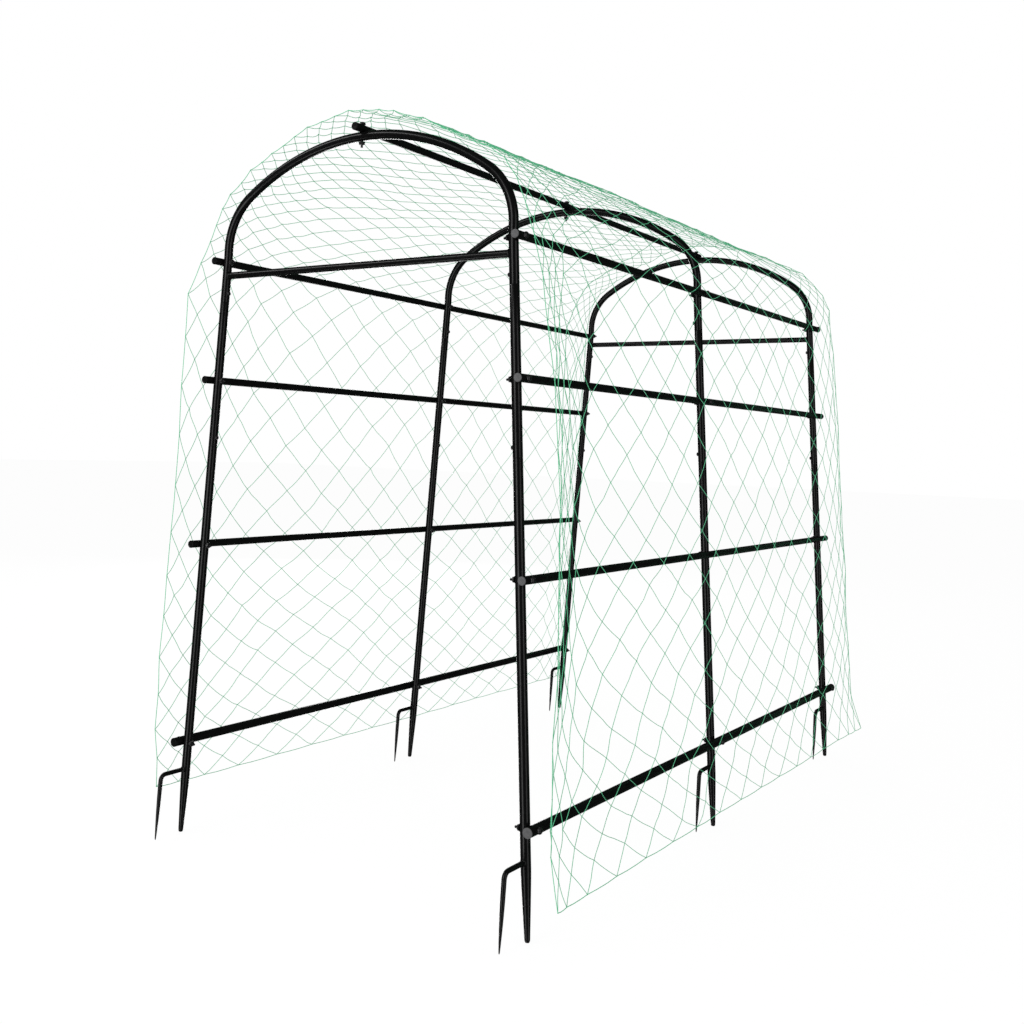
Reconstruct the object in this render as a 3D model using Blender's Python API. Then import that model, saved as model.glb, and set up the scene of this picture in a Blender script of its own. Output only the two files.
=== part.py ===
"""Garden trellis tunnel: three bent-tube hoops on pronged feet, nine rails bolted
along their outside, and a plant net hung over the rails.

Metres, +Z up. X runs across the tunnel and Y along it, from the front hoop to the rear
one. The origin is on the ground under the middle of the tunnel, and the feet reach Z = 0.
"""

import math

import bmesh
import bpy
from mathutils import Matrix, Vector

# Tube stock
TUBE_DIAMETER = 0.025
TUBE_WALL = 0.0008
TUBE_SIDES = 10
RAIL_DIAMETER = 0.021
BOTTOM_RAIL_DIAMETER = 0.025
CROSSBAR_DIAMETER = 0.020
CROSSBAR_SIDES = 8
SEAT_GAP = 0.0003

# Hoops
HOOPS = ("front", "middle", "rear")
SIDES = {"left": -1, "right": 1}
HOOP_SPACING = 1.10
FOOT_HALF_WIDTH = 0.590
SHOULDER_HALF_WIDTH = 0.487
CROWN_HEIGHT = 1.962
CROWN_RADIUS = 0.730
CROWN_HALF_STEPS = 3
CORNER_RADIUS = 0.180
CORNER_STEPS = 5
SHOULDER_RUN = 0.015

# Leg sections, joined by a narrowed end pushed up into the section above
UPPER_JOINT_DROP = 0.116
UPPER_LEG_LENGTH = 0.417
SPIGOT_LENGTH = 0.050
SPIGOT_NECK = 0.004
SPIGOT_CLEARANCE = 0.0004
JOINT_SCREW_RISE = 0.025
JOINT_SCREW_DIAMETER = 0.012
JOINT_SCREW_TOP_DIAMETER = 0.0075
JOINT_SCREW_HEIGHT = 0.005
JOINT_SCREW_SIDES = 6

# Feet and step-in prongs
FOOT_TAPER_HEIGHT = 0.165
FOOT_NOSE_HEIGHT = 0.022
FOOT_NOSE_DIAMETER = 0.015
FOOT_NOSE_ROUNDING = 0.003
FOOT_TIP_DIAMETER = 0.0115
FOOT_PLUG_HEIGHT = 0.010
PRONG_ARM_RISE = 0.018
PRONG_REACH = 0.092
PRONG_FORWARD_LEAN = 0.012
PRONG_DIAMETER = 0.0125
PRONG_TIP_DIAMETER = 0.003
PRONG_TIP_LIFT = 0.004
PRONG_BEND_RADIUS = 0.022
PRONG_BEND_STEPS = 3
PRONG_ROOT_DEPTH = 0.006
PRONG_SIDES = 8

# Rails and crossbars. The shoulder rail is placed from the knee above it, the crossbar from
# the shoulder rail, the upper and middle rails from the leg joints above them, and the
# bottom rail from the foot. The bottom rails are of a thicker tube than the other seven.
SHOULDER_RAIL_DROP = 0.0175
CROSSBAR_DROP = 0.040
UPPER_RAIL_DROP = 0.228
MIDDLE_RAIL_DROP = 0.288
BOTTOM_RAIL_HEIGHT = 0.259
RAIL_OVERHANG = 0.030

# Bolts, one through a rail and a hoop at each crossing
BOLT_DIAMETER = 0.006
BOLT_SIDES = 6
BOLT_HOLE_CLEARANCE = 0.0006
BOLT_HEAD_DIAMETER = 0.017
BOLT_HEAD_TOP_DIAMETER = 0.010
BOLT_HEAD_HEIGHT = 0.007
BOLT_END_LENGTH = 0.0075
NUT_DIAMETER = 0.0185
NUT_TOP_DIAMETER = 0.0125
NUT_HEIGHT = 0.0075

# Plant net. Its overhangs past the front and rear hoops are listed at its seams, from the
# left hem over the ridge to the right hem; where one is negative the net is drawn back.
# Its diamonds are counted along the tunnel, and for each panel across it.
NET_PARTS = ("wall", "shoulder", "crown")
NET_FRONT_OVERHANGS = (0.075, 0.080, 0.060, 0.035, 0.030, -0.075, -0.050)
NET_REAR_OVERHANGS = (0.100, 0.060, 0.050, 0.045, 0.060, 0.115, 0.130)
NET_HEM_HEIGHTS = {"left": 0.125, "right": 0.085}
NET_HEM_FLARES = {"left": 0.0, "right": 0.025}
NET_ALONG_COUNT = 7
NET_WALL_COUNT = 5
NET_SHOULDER_COUNT = 1
NET_CROWN_COUNT = 2
NET_STRAND_WIDTH = 0.003
NET_EDGE_WIDTH = 0.004
NET_THICKNESS = 0.0015
NET_SEAT_GAP = 0.0003
NET_RIDGE_LIFT = 0.0005
NET_SEAM_GAP = 0.0004

# Colours
BLACK_COAT = (0.012, 0.012, 0.013, 1.0)
ZINC = (0.045, 0.045, 0.048, 1.0)
NET_GREEN = (0.10, 0.36, 0.21, 1.0)

AXIS_X = Vector((1.0, 0.0, 0.0))
AXIS_Y = Vector((0.0, 1.0, 0.0))
TUBE_RADIUS = TUBE_DIAMETER / 2
RAIL_SPAN = HOOP_SPACING * (len(HOOPS) - 1)
MERGE = 1e-6
SMOOTH_ANGLE = math.radians(40)


def clear_scene():
    """Removes what a new file starts with."""
    for obj in list(bpy.data.objects):
        bpy.data.objects.remove(obj, do_unlink=True)


def coat(name, colour, roughness, metallic):
    """A Principled material of one colour."""
    material = bpy.data.materials.new(name)
    material.use_nodes = True
    shader = material.node_tree.nodes["Principled BSDF"]
    shader.inputs["Base Color"].default_value = colour
    shader.inputs["Roughness"].default_value = roughness
    shader.inputs["Metallic"].default_value = metallic
    return material


def black_coat(name):
    """Black powder coat over steel tube."""
    return coat(name + "_coat", BLACK_COAT, 0.38, 0.0)


def black_zinc(name):
    """Black zinc plating on a bolt and its nut."""
    return coat(name + "_plating", ZINC, 0.42, 0.85)


def green_cord(name):
    """Green polyester cord of the net."""
    return coat(name + "_cord", NET_GREEN, 0.55, 0.0)


def closed_mesh(name, points, faces):
    """A mesh with its faces turned outwards and its round parts shaded smooth."""
    mesh = bpy.data.meshes.new(name)
    mesh.from_pydata(points, [], faces)
    work = bmesh.new()
    work.from_mesh(mesh)
    bmesh.ops.recalc_face_normals(work, faces=work.faces)
    work.to_mesh(mesh)
    work.free()
    mesh.shade_smooth()
    mesh.set_sharp_from_angle(angle=SMOOTH_ANGLE)
    return mesh


def loft(name, rings, cyclic=False):
    """A skin through rings of equal count: joined end to end, or capped at both ends."""
    count = len(rings[0])
    points = [point for ring in rings for point in ring]
    faces = []
    for index in range(len(rings) if cyclic else len(rings) - 1):
        low = index * count
        high = ((index + 1) % len(rings)) * count
        for side in range(count):
            after = (side + 1) % count
            faces.append((low + side, low + after, high + after, high + side))
    if not cyclic:
        faces.append(tuple(range(count)))
        last = (len(rings) - 1) * count
        faces.append(tuple(range(last, last + count)))
    return closed_mesh(name, points, faces)


def ring(centre, across, along, radius, sides):
    """A polygon about centre whose flats lie at radius, one of them square to across."""
    corner = radius / math.cos(math.pi / sides)
    points = []
    for side in range(sides):
        turn = 2 * math.pi * (side + 0.5) / sides
        points.append(centre + across * (corner * math.cos(turn)) + along * (corner * math.sin(turn)))
    return points


def path_rings(path, side_axis, radii, sides):
    """Rings along a flat path, mitred at its bends. side_axis stands square to its plane."""
    rings = []
    for index, point in enumerate(path):
        before = (point - path[max(index - 1, 0)]).normalized()
        after = (path[min(index + 1, len(path) - 1)] - point).normalized()
        if index == 0:
            before = after
        if index == len(path) - 1:
            after = before
        along = (before + after).normalized()
        across = side_axis.cross(along) / along.dot(after)
        rings.append(ring(point, across, side_axis, radii[index], sides))
    return rings


def swept_tube(name, path, side_axis, diameter, wall, sides):
    """A tube of one wall thickness with open ends."""
    outer = path_rings(path, side_axis, [diameter / 2] * len(path), sides)
    inner = path_rings(path, side_axis, [diameter / 2 - wall] * len(path), sides)
    return loft(name, outer + inner[::-1], cyclic=True)


def place(name, mesh, material, parent=None, at=(0.0, 0.0, 0.0)):
    """A visible sub-part, which becomes a node of its own."""
    obj = bpy.data.objects.new(name, mesh)
    bpy.context.scene.collection.objects.link(obj)
    obj.data.materials.clear()
    obj.data.materials.append(material(name))
    obj.parent = parent
    obj.location = at
    return obj


def helper(name, mesh, parent=None, at=(0.0, 0.0, 0.0)):
    """A shape that only cuts or joins another, and is left out of the part."""
    obj = bpy.data.objects.new(name, mesh)
    bpy.context.scene.collection.objects.link(obj)
    obj.parent = parent
    obj.location = at
    obj.hide_render = True
    obj.display_type = "WIRE"
    return obj


def combine(obj, other, operation):
    """A Boolean of obj with a helper."""
    modifier = obj.modifiers.new(operation.title() + "_" + other.name, "BOOLEAN")
    modifier.operation = operation
    modifier.solver = "EXACT"
    modifier.object = other


def rail_diameter(rail_name):
    """Tube of a rail, by its crossing's name."""
    return BOTTOM_RAIL_DIAMETER if rail_name.endswith("bottom") else RAIL_DIAMETER


def rail_offset(diameter):
    """From a hoop's centre line to that of a rail seated on it."""
    return TUBE_RADIUS + SEAT_GAP + diameter / 2


def head_offset(diameter):
    """From a hoop's centre line to the underside of a bolt's head seated on a rail."""
    return rail_offset(diameter) + diameter / 2 + SEAT_GAP


def net_offset(diameter):
    """From a hoop's centre line to the net's inner face, which lies on the bolt heads."""
    return head_offset(diameter) + BOLT_HEAD_HEIGHT + NET_SEAT_GAP


def crown_centre_height():
    return CROWN_HEIGHT - CROWN_RADIUS


def spring_height():
    """Where the corner bend starts, so that it runs smoothly into the crown."""
    across = SHOULDER_HALF_WIDTH - CORNER_RADIUS
    return crown_centre_height() + math.sqrt((CROWN_RADIUS - CORNER_RADIUS) ** 2 - across**2)


def corner_sweep():
    """The angle that the corner bend turns through."""
    rise = spring_height() - crown_centre_height()
    return math.atan2(rise, SHOULDER_HALF_WIDTH - CORNER_RADIUS)


def crown_steps():
    """Straights that the crown is made of: an odd number, so that one lies level at its middle."""
    return 2 * CROWN_HALF_STEPS + 1


def crown_flat_height():
    """Centre line height of the level straight at the middle of the crown."""
    half_step = (math.pi - 2 * corner_sweep()) / crown_steps() / 2
    return crown_centre_height() + CROWN_RADIUS * math.cos(half_step)


def knee():
    """Where the splayed leg meets the upright run below the corner."""
    return Vector((SHOULDER_HALF_WIDTH, 0.0, spring_height() - SHOULDER_RUN))


def shoulder_rail_height():
    return knee().z - SHOULDER_RAIL_DROP


def crossbar_height():
    return shoulder_rail_height() - CROSSBAR_DROP


def upper_joint_height():
    return shoulder_rail_height() - UPPER_JOINT_DROP


def lower_joint_height():
    return upper_joint_height() - UPPER_LEG_LENGTH


def rail_heights():
    """Heights at which the side rails cross the legs, bottom to top."""
    return {
        "bottom": BOTTOM_RAIL_HEIGHT,
        "middle": lower_joint_height() - MIDDLE_RAIL_DROP,
        "upper": upper_joint_height() - UPPER_RAIL_DROP,
        "shoulder": shoulder_rail_height(),
    }


def leg_axis(side):
    """Unit vector up the leg."""
    foot = Vector((FOOT_HALF_WIDTH, 0.0, 0.0))
    up = (knee() - foot).normalized()
    return Vector((up.x * side, 0.0, up.z))


def leg_point(side, height):
    """A point on the leg's centre line."""
    up = leg_axis(side)
    return Vector((FOOT_HALF_WIDTH * side, 0.0, 0.0)) + up * (height / up.z)


def leg_outward(side):
    """Unit vector square to the leg, pointing out of the tunnel."""
    return AXIS_Y.cross(leg_axis(side)) * side


def corner_and_crown():
    """Centre line points of the right corner and the whole crown, from right to left."""
    sweep = corner_sweep()
    corner_centre = Vector((SHOULDER_HALF_WIDTH - CORNER_RADIUS, 0.0, spring_height()))
    crown_centre = Vector((0.0, 0.0, crown_centre_height()))
    points = []
    for step in range(CORNER_STEPS + 1):
        turn = sweep * step / CORNER_STEPS
        points.append(corner_centre + Vector((math.cos(turn), 0.0, math.sin(turn))) * CORNER_RADIUS)
    for step in range(1, crown_steps() + 1):
        turn = sweep + (math.pi - 2 * sweep) * step / crown_steps()
        points.append(crown_centre + Vector((math.cos(turn), 0.0, math.sin(turn))) * CROWN_RADIUS)
    for step in range(1, CORNER_STEPS + 1):
        turn = sweep * (CORNER_STEPS - step) / CORNER_STEPS
        away = Vector((-math.cos(turn), 0.0, math.sin(turn))) * CORNER_RADIUS
        points.append(Vector((-corner_centre.x, 0.0, corner_centre.z)) + away)
    return points


def arch_path():
    """Centre line of the arch section, from its right end over the crown to its left end."""
    left_knee = Vector((-knee().x, 0.0, knee().z))
    start = [leg_point(1, upper_joint_height()), knee()]
    end = [left_knee, leg_point(-1, upper_joint_height())]
    return start + corner_and_crown() + end


def screw_head(name, side, height, parent):
    """Head of the screw that holds a leg joint, on the inner side of the leg."""
    inward = -leg_outward(side)
    seat = leg_point(side, height) + inward * (TUBE_RADIUS - TUBE_WALL / 2)
    top = seat + inward * (JOINT_SCREW_HEIGHT + TUBE_WALL / 2)
    across = leg_axis(side)
    base = ring(seat, across, AXIS_Y, JOINT_SCREW_DIAMETER / 2, JOINT_SCREW_SIDES)
    cap = ring(top, across, AXIS_Y, JOINT_SCREW_TOP_DIAMETER / 2, JOINT_SCREW_SIDES)
    return helper(name, loft(name, [base, cap]), parent)


def leg_rings(side, profile):
    """Rings about the leg's centre line, from (height, radius) pairs."""
    outward = leg_outward(side)
    rings = []
    for height, radius in profile:
        rings.append(ring(leg_point(side, height), outward, AXIS_Y, radius, TUBE_SIDES))
    return rings


def spigot_profiles(joint_height):
    """Outer and inner (height, radius) pairs of the narrowed end above a joint."""
    tube_bore = TUBE_RADIUS - TUBE_WALL
    spigot_radius = tube_bore - SPIGOT_CLEARANCE
    spigot_bore = spigot_radius - TUBE_WALL
    neck_foot = joint_height - SEAT_GAP
    top = joint_height + SPIGOT_LENGTH
    outer = [(neck_foot, TUBE_RADIUS), (neck_foot, spigot_radius), (top, spigot_radius)]
    inner = [(top, spigot_bore), (neck_foot, spigot_bore), (neck_foot - SPIGOT_NECK, tube_bore)]
    return outer, inner


def upper_leg_mesh(name, side):
    """Straight leg section between the two joints, with its narrowed top end."""
    outer, inner = spigot_profiles(upper_joint_height())
    profile = [(lower_joint_height(), TUBE_RADIUS)] + outer + inner
    profile.append((lower_joint_height(), TUBE_RADIUS - TUBE_WALL))
    return loft(name, leg_rings(side, profile), cyclic=True)


def lower_leg_mesh(name, side):
    """Ground section: narrowed top end, plain tube, and a drawn-down foot with a closed tip."""
    outer, inner = spigot_profiles(lower_joint_height())
    nose = FOOT_NOSE_DIAMETER / 2
    tip_centre = leg_point(side, 0.0)
    tip = ring(tip_centre, AXIS_X * side, AXIS_Y, FOOT_TIP_DIAMETER / 2, TUBE_SIDES)
    body = [
        (FOOT_NOSE_ROUNDING, nose),
        (FOOT_NOSE_HEIGHT, nose),
        (FOOT_TAPER_HEIGHT, TUBE_RADIUS),
    ]
    bore = [
        (FOOT_TAPER_HEIGHT, TUBE_RADIUS - TUBE_WALL),
        (FOOT_NOSE_HEIGHT + FOOT_PLUG_HEIGHT, nose - TUBE_WALL),
    ]
    return loft(name, [tip] + leg_rings(side, body + outer + inner + bore))


def prong_mesh(name, side):
    """Step-in prong: an arm forward from the leg, then a bend and a point beside the foot."""
    arm_height = FOOT_TAPER_HEIGHT + PRONG_ARM_RISE
    root = leg_point(side, arm_height)
    forward = -AXIS_Y
    down = Vector((0.0, -PRONG_FORWARD_LEAN, PRONG_TIP_LIFT - arm_height)).normalized()
    corner = root + forward * PRONG_REACH
    turn = math.acos(max(-1.0, min(1.0, forward.dot(down))))
    setback = PRONG_BEND_RADIUS * math.tan(turn / 2)
    bend_start = corner - forward * setback
    centre = bend_start + (down - forward * forward.dot(down)).normalized() * PRONG_BEND_RADIUS
    path = [root + forward * (TUBE_RADIUS - PRONG_ROOT_DEPTH)]
    spoke = bend_start - centre
    for step in range(PRONG_BEND_STEPS + 1):
        swing = Matrix.Rotation(turn * step / PRONG_BEND_STEPS, 3, "X")
        path.append(centre + swing @ spoke)
    tip_drop = (corner.z - PRONG_TIP_LIFT) / -down.z
    path.append(corner + down * tip_drop)
    radii = [PRONG_DIAMETER / 2] * (len(path) - 1) + [PRONG_TIP_DIAMETER / 2]
    return loft(name, path_rings(path, AXIS_X, radii, PRONG_SIDES))


def crossing(side, height):
    """Hoop centre and outward direction of a side crossing."""
    return leg_point(side, height), leg_outward(side)


def crossings():
    """Each rail's name with its hoop centre and outward direction, ridge first."""
    found = {"ridge": (Vector((0.0, 0.0, crown_flat_height())), Vector((0.0, 0.0, 1.0)))}
    for side_name, side in SIDES.items():
        for rail_name, height in rail_heights().items():
            found[side_name + "_" + rail_name] = crossing(side, height)
    return found


def rail_mesh(name, outward, diameter):
    """A straight tube along Y, one of its flats facing the hoops."""
    side_axis = AXIS_Y.cross(outward)
    path = [Vector((0.0, -RAIL_OVERHANG, 0.0)), Vector((0.0, RAIL_SPAN + RAIL_OVERHANG, 0.0))]
    return swept_tube(name, path, side_axis, diameter, TUBE_WALL, TUBE_SIDES)


def turned(name, profile):
    """A bolt shape about local Z, from (height, radius) pairs."""
    rings = []
    for height, radius in profile:
        rings.append(ring(Vector((0.0, 0.0, height)), AXIS_X, AXIS_Y, radius, BOLT_SIDES))
    return loft(name, rings)


def bolt_mesh(name, diameter):
    """Bolt through a hoop and a rail of this diameter, with its nut run on. Local +Z points
    out of the tunnel, from the hoop's centre line."""
    head_seat = head_offset(diameter)
    nut_seat = -(TUBE_RADIUS + SEAT_GAP)
    shank = BOLT_DIAMETER / 2
    profile = [
        (head_seat + BOLT_HEAD_HEIGHT, BOLT_HEAD_TOP_DIAMETER / 2),
        (head_seat, BOLT_HEAD_DIAMETER / 2),
        (head_seat, shank),
        (nut_seat, shank),
        (nut_seat, NUT_DIAMETER / 2),
        (nut_seat - NUT_HEIGHT, NUT_TOP_DIAMETER / 2),
        (nut_seat - NUT_HEIGHT, shank),
        (nut_seat - NUT_HEIGHT - BOLT_END_LENGTH, shank),
    ]
    return turned(name, profile)


def hole_mesh(name):
    """Cutter for a bolt's holes through rail and hoop, longer than both."""
    radius = (BOLT_DIAMETER + BOLT_HOLE_CLEARANCE) / 2
    outer_end = head_offset(BOTTOM_RAIL_DIAMETER) + TUBE_RADIUS
    return turned(name, [(-TUBE_DIAMETER, radius), (outer_end, radius)])


def facing(outward):
    """Rotation that turns local +Z to outward and keeps local +Y along the tunnel."""
    return Matrix((AXIS_Y.cross(outward), AXIS_Y, outward)).transposed().to_euler()


def crossbar_mesh(name):
    """Straight tube between the legs, over-long so that its ends can be coped to them."""
    height = crossbar_height()
    reach = leg_point(1, height).x
    path = [Vector((reach, 0.0, height)), Vector((-reach, 0.0, height))]
    return swept_tube(name, path, AXIS_Y, CROSSBAR_DIAMETER, TUBE_WALL, CROSSBAR_SIDES)


def cope_mesh(name, side):
    """Solid that a crossbar's end is shaped to: the leg with the seating gap added."""
    reach = CROSSBAR_DIAMETER
    profile = [
        (crossbar_height() - reach, TUBE_RADIUS + SEAT_GAP),
        (crossbar_height() + reach, TUBE_RADIUS + SEAT_GAP),
    ]
    return loft(name, leg_rings(side, profile))


def make_legs(hoop, origin, holes):
    """Both legs of one hoop, each an upper section and a ground section with its prong."""
    for side_name, side in SIDES.items():
        stem = hoop + "_" + side_name
        upper = place(stem + "_upper_leg", upper_leg_mesh(stem + "_upper_leg", side), black_coat, origin)
        combine(upper, holes[hoop, side_name + "_upper"], "DIFFERENCE")
        screw_height = lower_joint_height() + JOINT_SCREW_RISE
        combine(upper, screw_head(stem + "_lower_joint_screw", side, screw_height, origin), "UNION")
        lower = place(stem + "_lower_leg", lower_leg_mesh(stem + "_lower_leg", side), black_coat, origin)
        combine(lower, helper(stem + "_prong", prong_mesh(stem + "_prong", side), origin), "UNION")
        for rail_name in ("middle", "bottom"):
            combine(lower, holes[hoop, side_name + "_" + rail_name], "DIFFERENCE")


def make_arch(hoop, origin, holes):
    """The bent top section of one hoop."""
    name = hoop + "_arch"
    mesh = swept_tube(name, arch_path(), AXIS_Y, TUBE_DIAMETER, TUBE_WALL, TUBE_SIDES)
    arch = place(name, mesh, black_coat, origin)
    for rail_name in ("ridge", "left_shoulder", "right_shoulder"):
        combine(arch, holes[hoop, rail_name], "DIFFERENCE")
    for side_name, side in SIDES.items():
        screw_name = hoop + "_" + side_name + "_upper_joint_screw"
        height = upper_joint_height() + JOINT_SCREW_RISE
        combine(arch, screw_head(screw_name, side, height, origin), "UNION")


def make_crossbar(hoop, origin):
    """The straight bar across an end hoop, coped round both legs."""
    name = hoop + "_crossbar"
    bar = place(name, crossbar_mesh(name), black_coat, origin)
    for side_name, side in SIDES.items():
        cope_name = hoop + "_" + side_name + "_cope"
        combine(bar, helper(cope_name, cope_mesh(cope_name, side), origin), "DIFFERENCE")


def make_bolts(origins):
    """A bolt at each crossing, and the cutter for its holes. Returns the cutters by hoop and rail."""
    bolts = {diameter: bolt_mesh("bolt", diameter) for diameter in (RAIL_DIAMETER, BOTTOM_RAIL_DIAMETER)}
    shared_hole = hole_mesh("bolt_hole")
    holes = {}
    for hoop, origin in origins.items():
        for rail_name, (centre, outward) in crossings().items():
            mesh = bolts[rail_diameter(rail_name)].copy()
            bolt = place(hoop + "_" + rail_name + "_bolt", mesh, black_zinc, origin, centre)
            bolt.rotation_euler = facing(outward)
            hole = helper(hoop + "_" + rail_name + "_hole", shared_hole, origin, centre)
            hole.rotation_euler = facing(outward)
            holes[hoop, rail_name] = hole
    return holes


def make_rails(base, holes):
    """The ridge rail and the four rails on each side."""
    for rail_name, (centre, outward) in crossings().items():
        diameter = rail_diameter(rail_name)
        at = centre + outward * rail_offset(diameter)
        mesh = rail_mesh(rail_name + "_rail", outward, diameter)
        rail = place(rail_name + "_rail", mesh, black_coat, base, at)
        for hoop in HOOPS:
            combine(rail, holes[hoop, rail_name], "DIFFERENCE")


def roof_line():
    """Points of the net's line over the right half of the roof, from the knee to the ridge."""
    away = net_offset(RAIL_DIAMETER)
    line = [knee() + leg_outward(1) * away]
    sweep = corner_sweep()
    corner_centre = Vector((SHOULDER_HALF_WIDTH - CORNER_RADIUS, 0.0, spring_height()))
    for step in range(CORNER_STEPS + 1):
        turn = sweep * step / CORNER_STEPS
        line.append(corner_centre + Vector((math.cos(turn), 0.0, math.sin(turn))) * (CORNER_RADIUS + away))
    crown_centre = Vector((0.0, 0.0, crown_centre_height()))
    for step in range(1, crown_steps() + 1):
        turn = sweep + (math.pi / 2 - sweep) * step / crown_steps()
        line.append(crown_centre + Vector((math.cos(turn), 0.0, math.sin(turn))) * (CROWN_RADIUS + away))
    line[-1] = Vector((0.0, 0.0, crown_flat_height() + away + NET_RIDGE_LIFT))
    return line


def spaced(line, count):
    """Count + 1 points at equal steps along a polyline."""
    lengths = [(after - before).length for before, after in zip(line, line[1:])]
    total = sum(lengths)
    points = [line[0].copy()]
    for step in range(1, count):
        left = total * step / count
        index = 0
        while left > lengths[index]:
            left -= lengths[index]
            index += 1
        points.append(line[index].lerp(line[index + 1], left / lengths[index]))
    points.append(line[-1].copy())
    return points


def wall_line(side_name):
    """Points of the net's line down one wall, from the hem to the knee: straight from the knee over
    the bottom rail, and flared below it."""
    side = SIDES[side_name]
    outward = leg_outward(side)
    hem_height = NET_HEM_HEIGHTS[side_name]
    knee_away = net_offset(RAIL_DIAMETER)
    slant = (net_offset(BOTTOM_RAIL_DIAMETER) - knee_away) / (knee().z - BOTTOM_RAIL_HEIGHT)
    hem_away = knee_away + slant * (knee().z - hem_height)
    hem_end = leg_point(side, hem_height) + outward * hem_away
    knee_end = leg_point(side, knee().z) + outward * knee_away
    line = spaced([hem_end, knee_end], 2 * NET_WALL_COUNT)
    fold = line[1].z
    for point in line:
        point.x += side * NET_HEM_FLARES[side_name] * max(0.0, (fold - point.z) / (fold - line[0].z))
    return line


def net_panels():
    """The net's panels: name, points of the line across the tunnel from left to right, and end seams."""
    shoulder_rows = 2 * NET_SHOULDER_COUNT
    roof = spaced(roof_line(), shoulder_rows + 2 * NET_CROWN_COUNT)
    halves = {}
    for side_name, side in SIDES.items():
        over = [Vector((point.x * side, point.y, point.z)) for point in roof]
        halves[side_name] = (wall_line(side_name), over[: shoulder_rows + 1], over[shoulder_rows:])
    panels = []
    for index, part in enumerate(NET_PARTS):
        panels.append(("net_left_" + part, halves["left"][index], index))
    for index, part in reversed(list(enumerate(NET_PARTS))):
        panels.append(("net_right_" + part, halves["right"][index][::-1], 2 * len(NET_PARTS) - 1 - index))
    return panels


def trimmed(line, start_gap, end_gap):
    """The line drawn back from its ends, so that neighbouring panels keep a gap."""
    first = line[0] + (line[1] - line[0]).normalized() * start_gap
    last = line[-1] + (line[-2] - line[-1]).normalized() * end_gap
    return [first] + line[1:-1] + [last]


def line_frame(line):
    """Outward directions of a panel's line: one a point, mitred, and one a stretch."""
    stretches = []
    for before, after in zip(line, line[1:]):
        stretches.append(-AXIS_Y.cross((after - before).normalized()))
    corners = [stretches[0]]
    for before, after in zip(stretches, stretches[1:]):
        middle = (before + after).normalized()
        corners.append(middle / middle.dot(after))
    corners.append(stretches[-1])
    return corners, stretches


def inset(polygon, widths):
    """The corners of a convex polygon in the plane with each edge moved in by its own width."""
    count = len(polygon)
    moved = []
    for index, corner in enumerate(polygon):
        before = (corner - polygon[index - 1]).normalized()
        after = (polygon[(index + 1) % count] - corner).normalized()
        inward_before = Vector((-before.y, before.x))
        inward_after = Vector((-after.y, after.x))
        turn = before.x * after.y - before.y * after.x
        near = corner + inward_before * widths[index - 1]
        if abs(turn) < MERGE:
            moved.append(near)
            continue
        far = corner + inward_after * widths[index]
        gap = far - near
        moved.append(near + before * ((gap.x * after.y - gap.y * after.x) / turn))
    return moved


def net_gap_corners(column, row, columns, rows):
    """Grid corners round the gap at an odd grid place, in order, cut off at the panel's edges."""
    around = [(column - 1, row), (column, row - 1), (column + 1, row), (column, row + 1)]
    if column == 0:
        around[0] = (column, row)
    if column == columns:
        around[2] = (column, row)
    if row == 0:
        around[1] = (column, row)
    if row == rows:
        around[3] = (column, row)
    return around


def net_panel_mesh(name, line, seam):
    """A diamond-mesh panel with corded edges: a flat net folded along its rows to follow the line."""
    columns = 2 * NET_ALONG_COUNT
    rows = len(line) - 1
    corners, stretches = line_frame(line)
    heights = [0.0]
    for before, after in zip(line, line[1:]):
        heights.append(heights[-1] + (after - before).length)
    ends = []
    for index in (seam, seam + 1):
        ends.append(Vector((-NET_FRONT_OVERHANGS[index], RAIL_SPAN + NET_REAR_OVERHANGS[index])))
    step = (ends[0].y - ends[0].x) / columns
    points = []
    shared = {}
    faces = []

    def put(flat):
        """Adds a point of the flat net to both faces of the panel and returns its number."""
        row = max([r for r in range(rows) if heights[r] <= flat.y + MERGE] or [0])
        share = (flat.y - heights[row]) / (heights[row + 1] - heights[row])
        base = line[row].lerp(line[row + 1], share)
        outward = stretches[row]
        if share < MERGE:
            outward = corners[row]
        if share > 1 - MERGE:
            outward = corners[row + 1]
        span = ends[0].lerp(ends[1], flat.y / heights[-1])
        base = base + AXIS_Y * (span.x + (span.y - span.x) * flat.x / (step * columns))
        points.append(base)
        points.append(base + outward * NET_THICKNESS)
        return len(points) // 2 - 1

    def node(column, row):
        """The shared point at a grid corner."""
        if (column, row) not in shared:
            shared[column, row] = put(Vector((column * step, heights[row])))
        return shared[column, row]

    for column in range(columns + 1):
        for row in range(rows + 1):
            if (column + row) % 2 == 0:
                continue
            around = net_gap_corners(column, row, columns, rows)
            polygon = [Vector((c * step, heights[r])) for c, r in around]
            widths = []
            for index, (c, r) in enumerate(around):
                c_next, r_next = around[(index + 1) % 4]
                on_edge = c == c_next in (0, columns) or r == r_next in (0, rows)
                widths.append(NET_EDGE_WIDTH if on_edge else NET_STRAND_WIDTH / 2)
            outer = [node(c, r) for c, r in around]
            inner = [put(corner) for corner in inset(polygon, widths)]
            for index in range(4):
                after = (index + 1) % 4
                a, b, c, d = outer[index], outer[after], inner[after], inner[index]
                faces.append((2 * a + 1, 2 * b + 1, 2 * c + 1, 2 * d + 1))
                faces.append((2 * a, 2 * d, 2 * c, 2 * b))
                faces.append((2 * d, 2 * d + 1, 2 * c + 1, 2 * c))
                if widths[index] == NET_EDGE_WIDTH:
                    faces.append((2 * a, 2 * b, 2 * b + 1, 2 * a + 1))
    return closed_mesh(name, points, faces)


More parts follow.
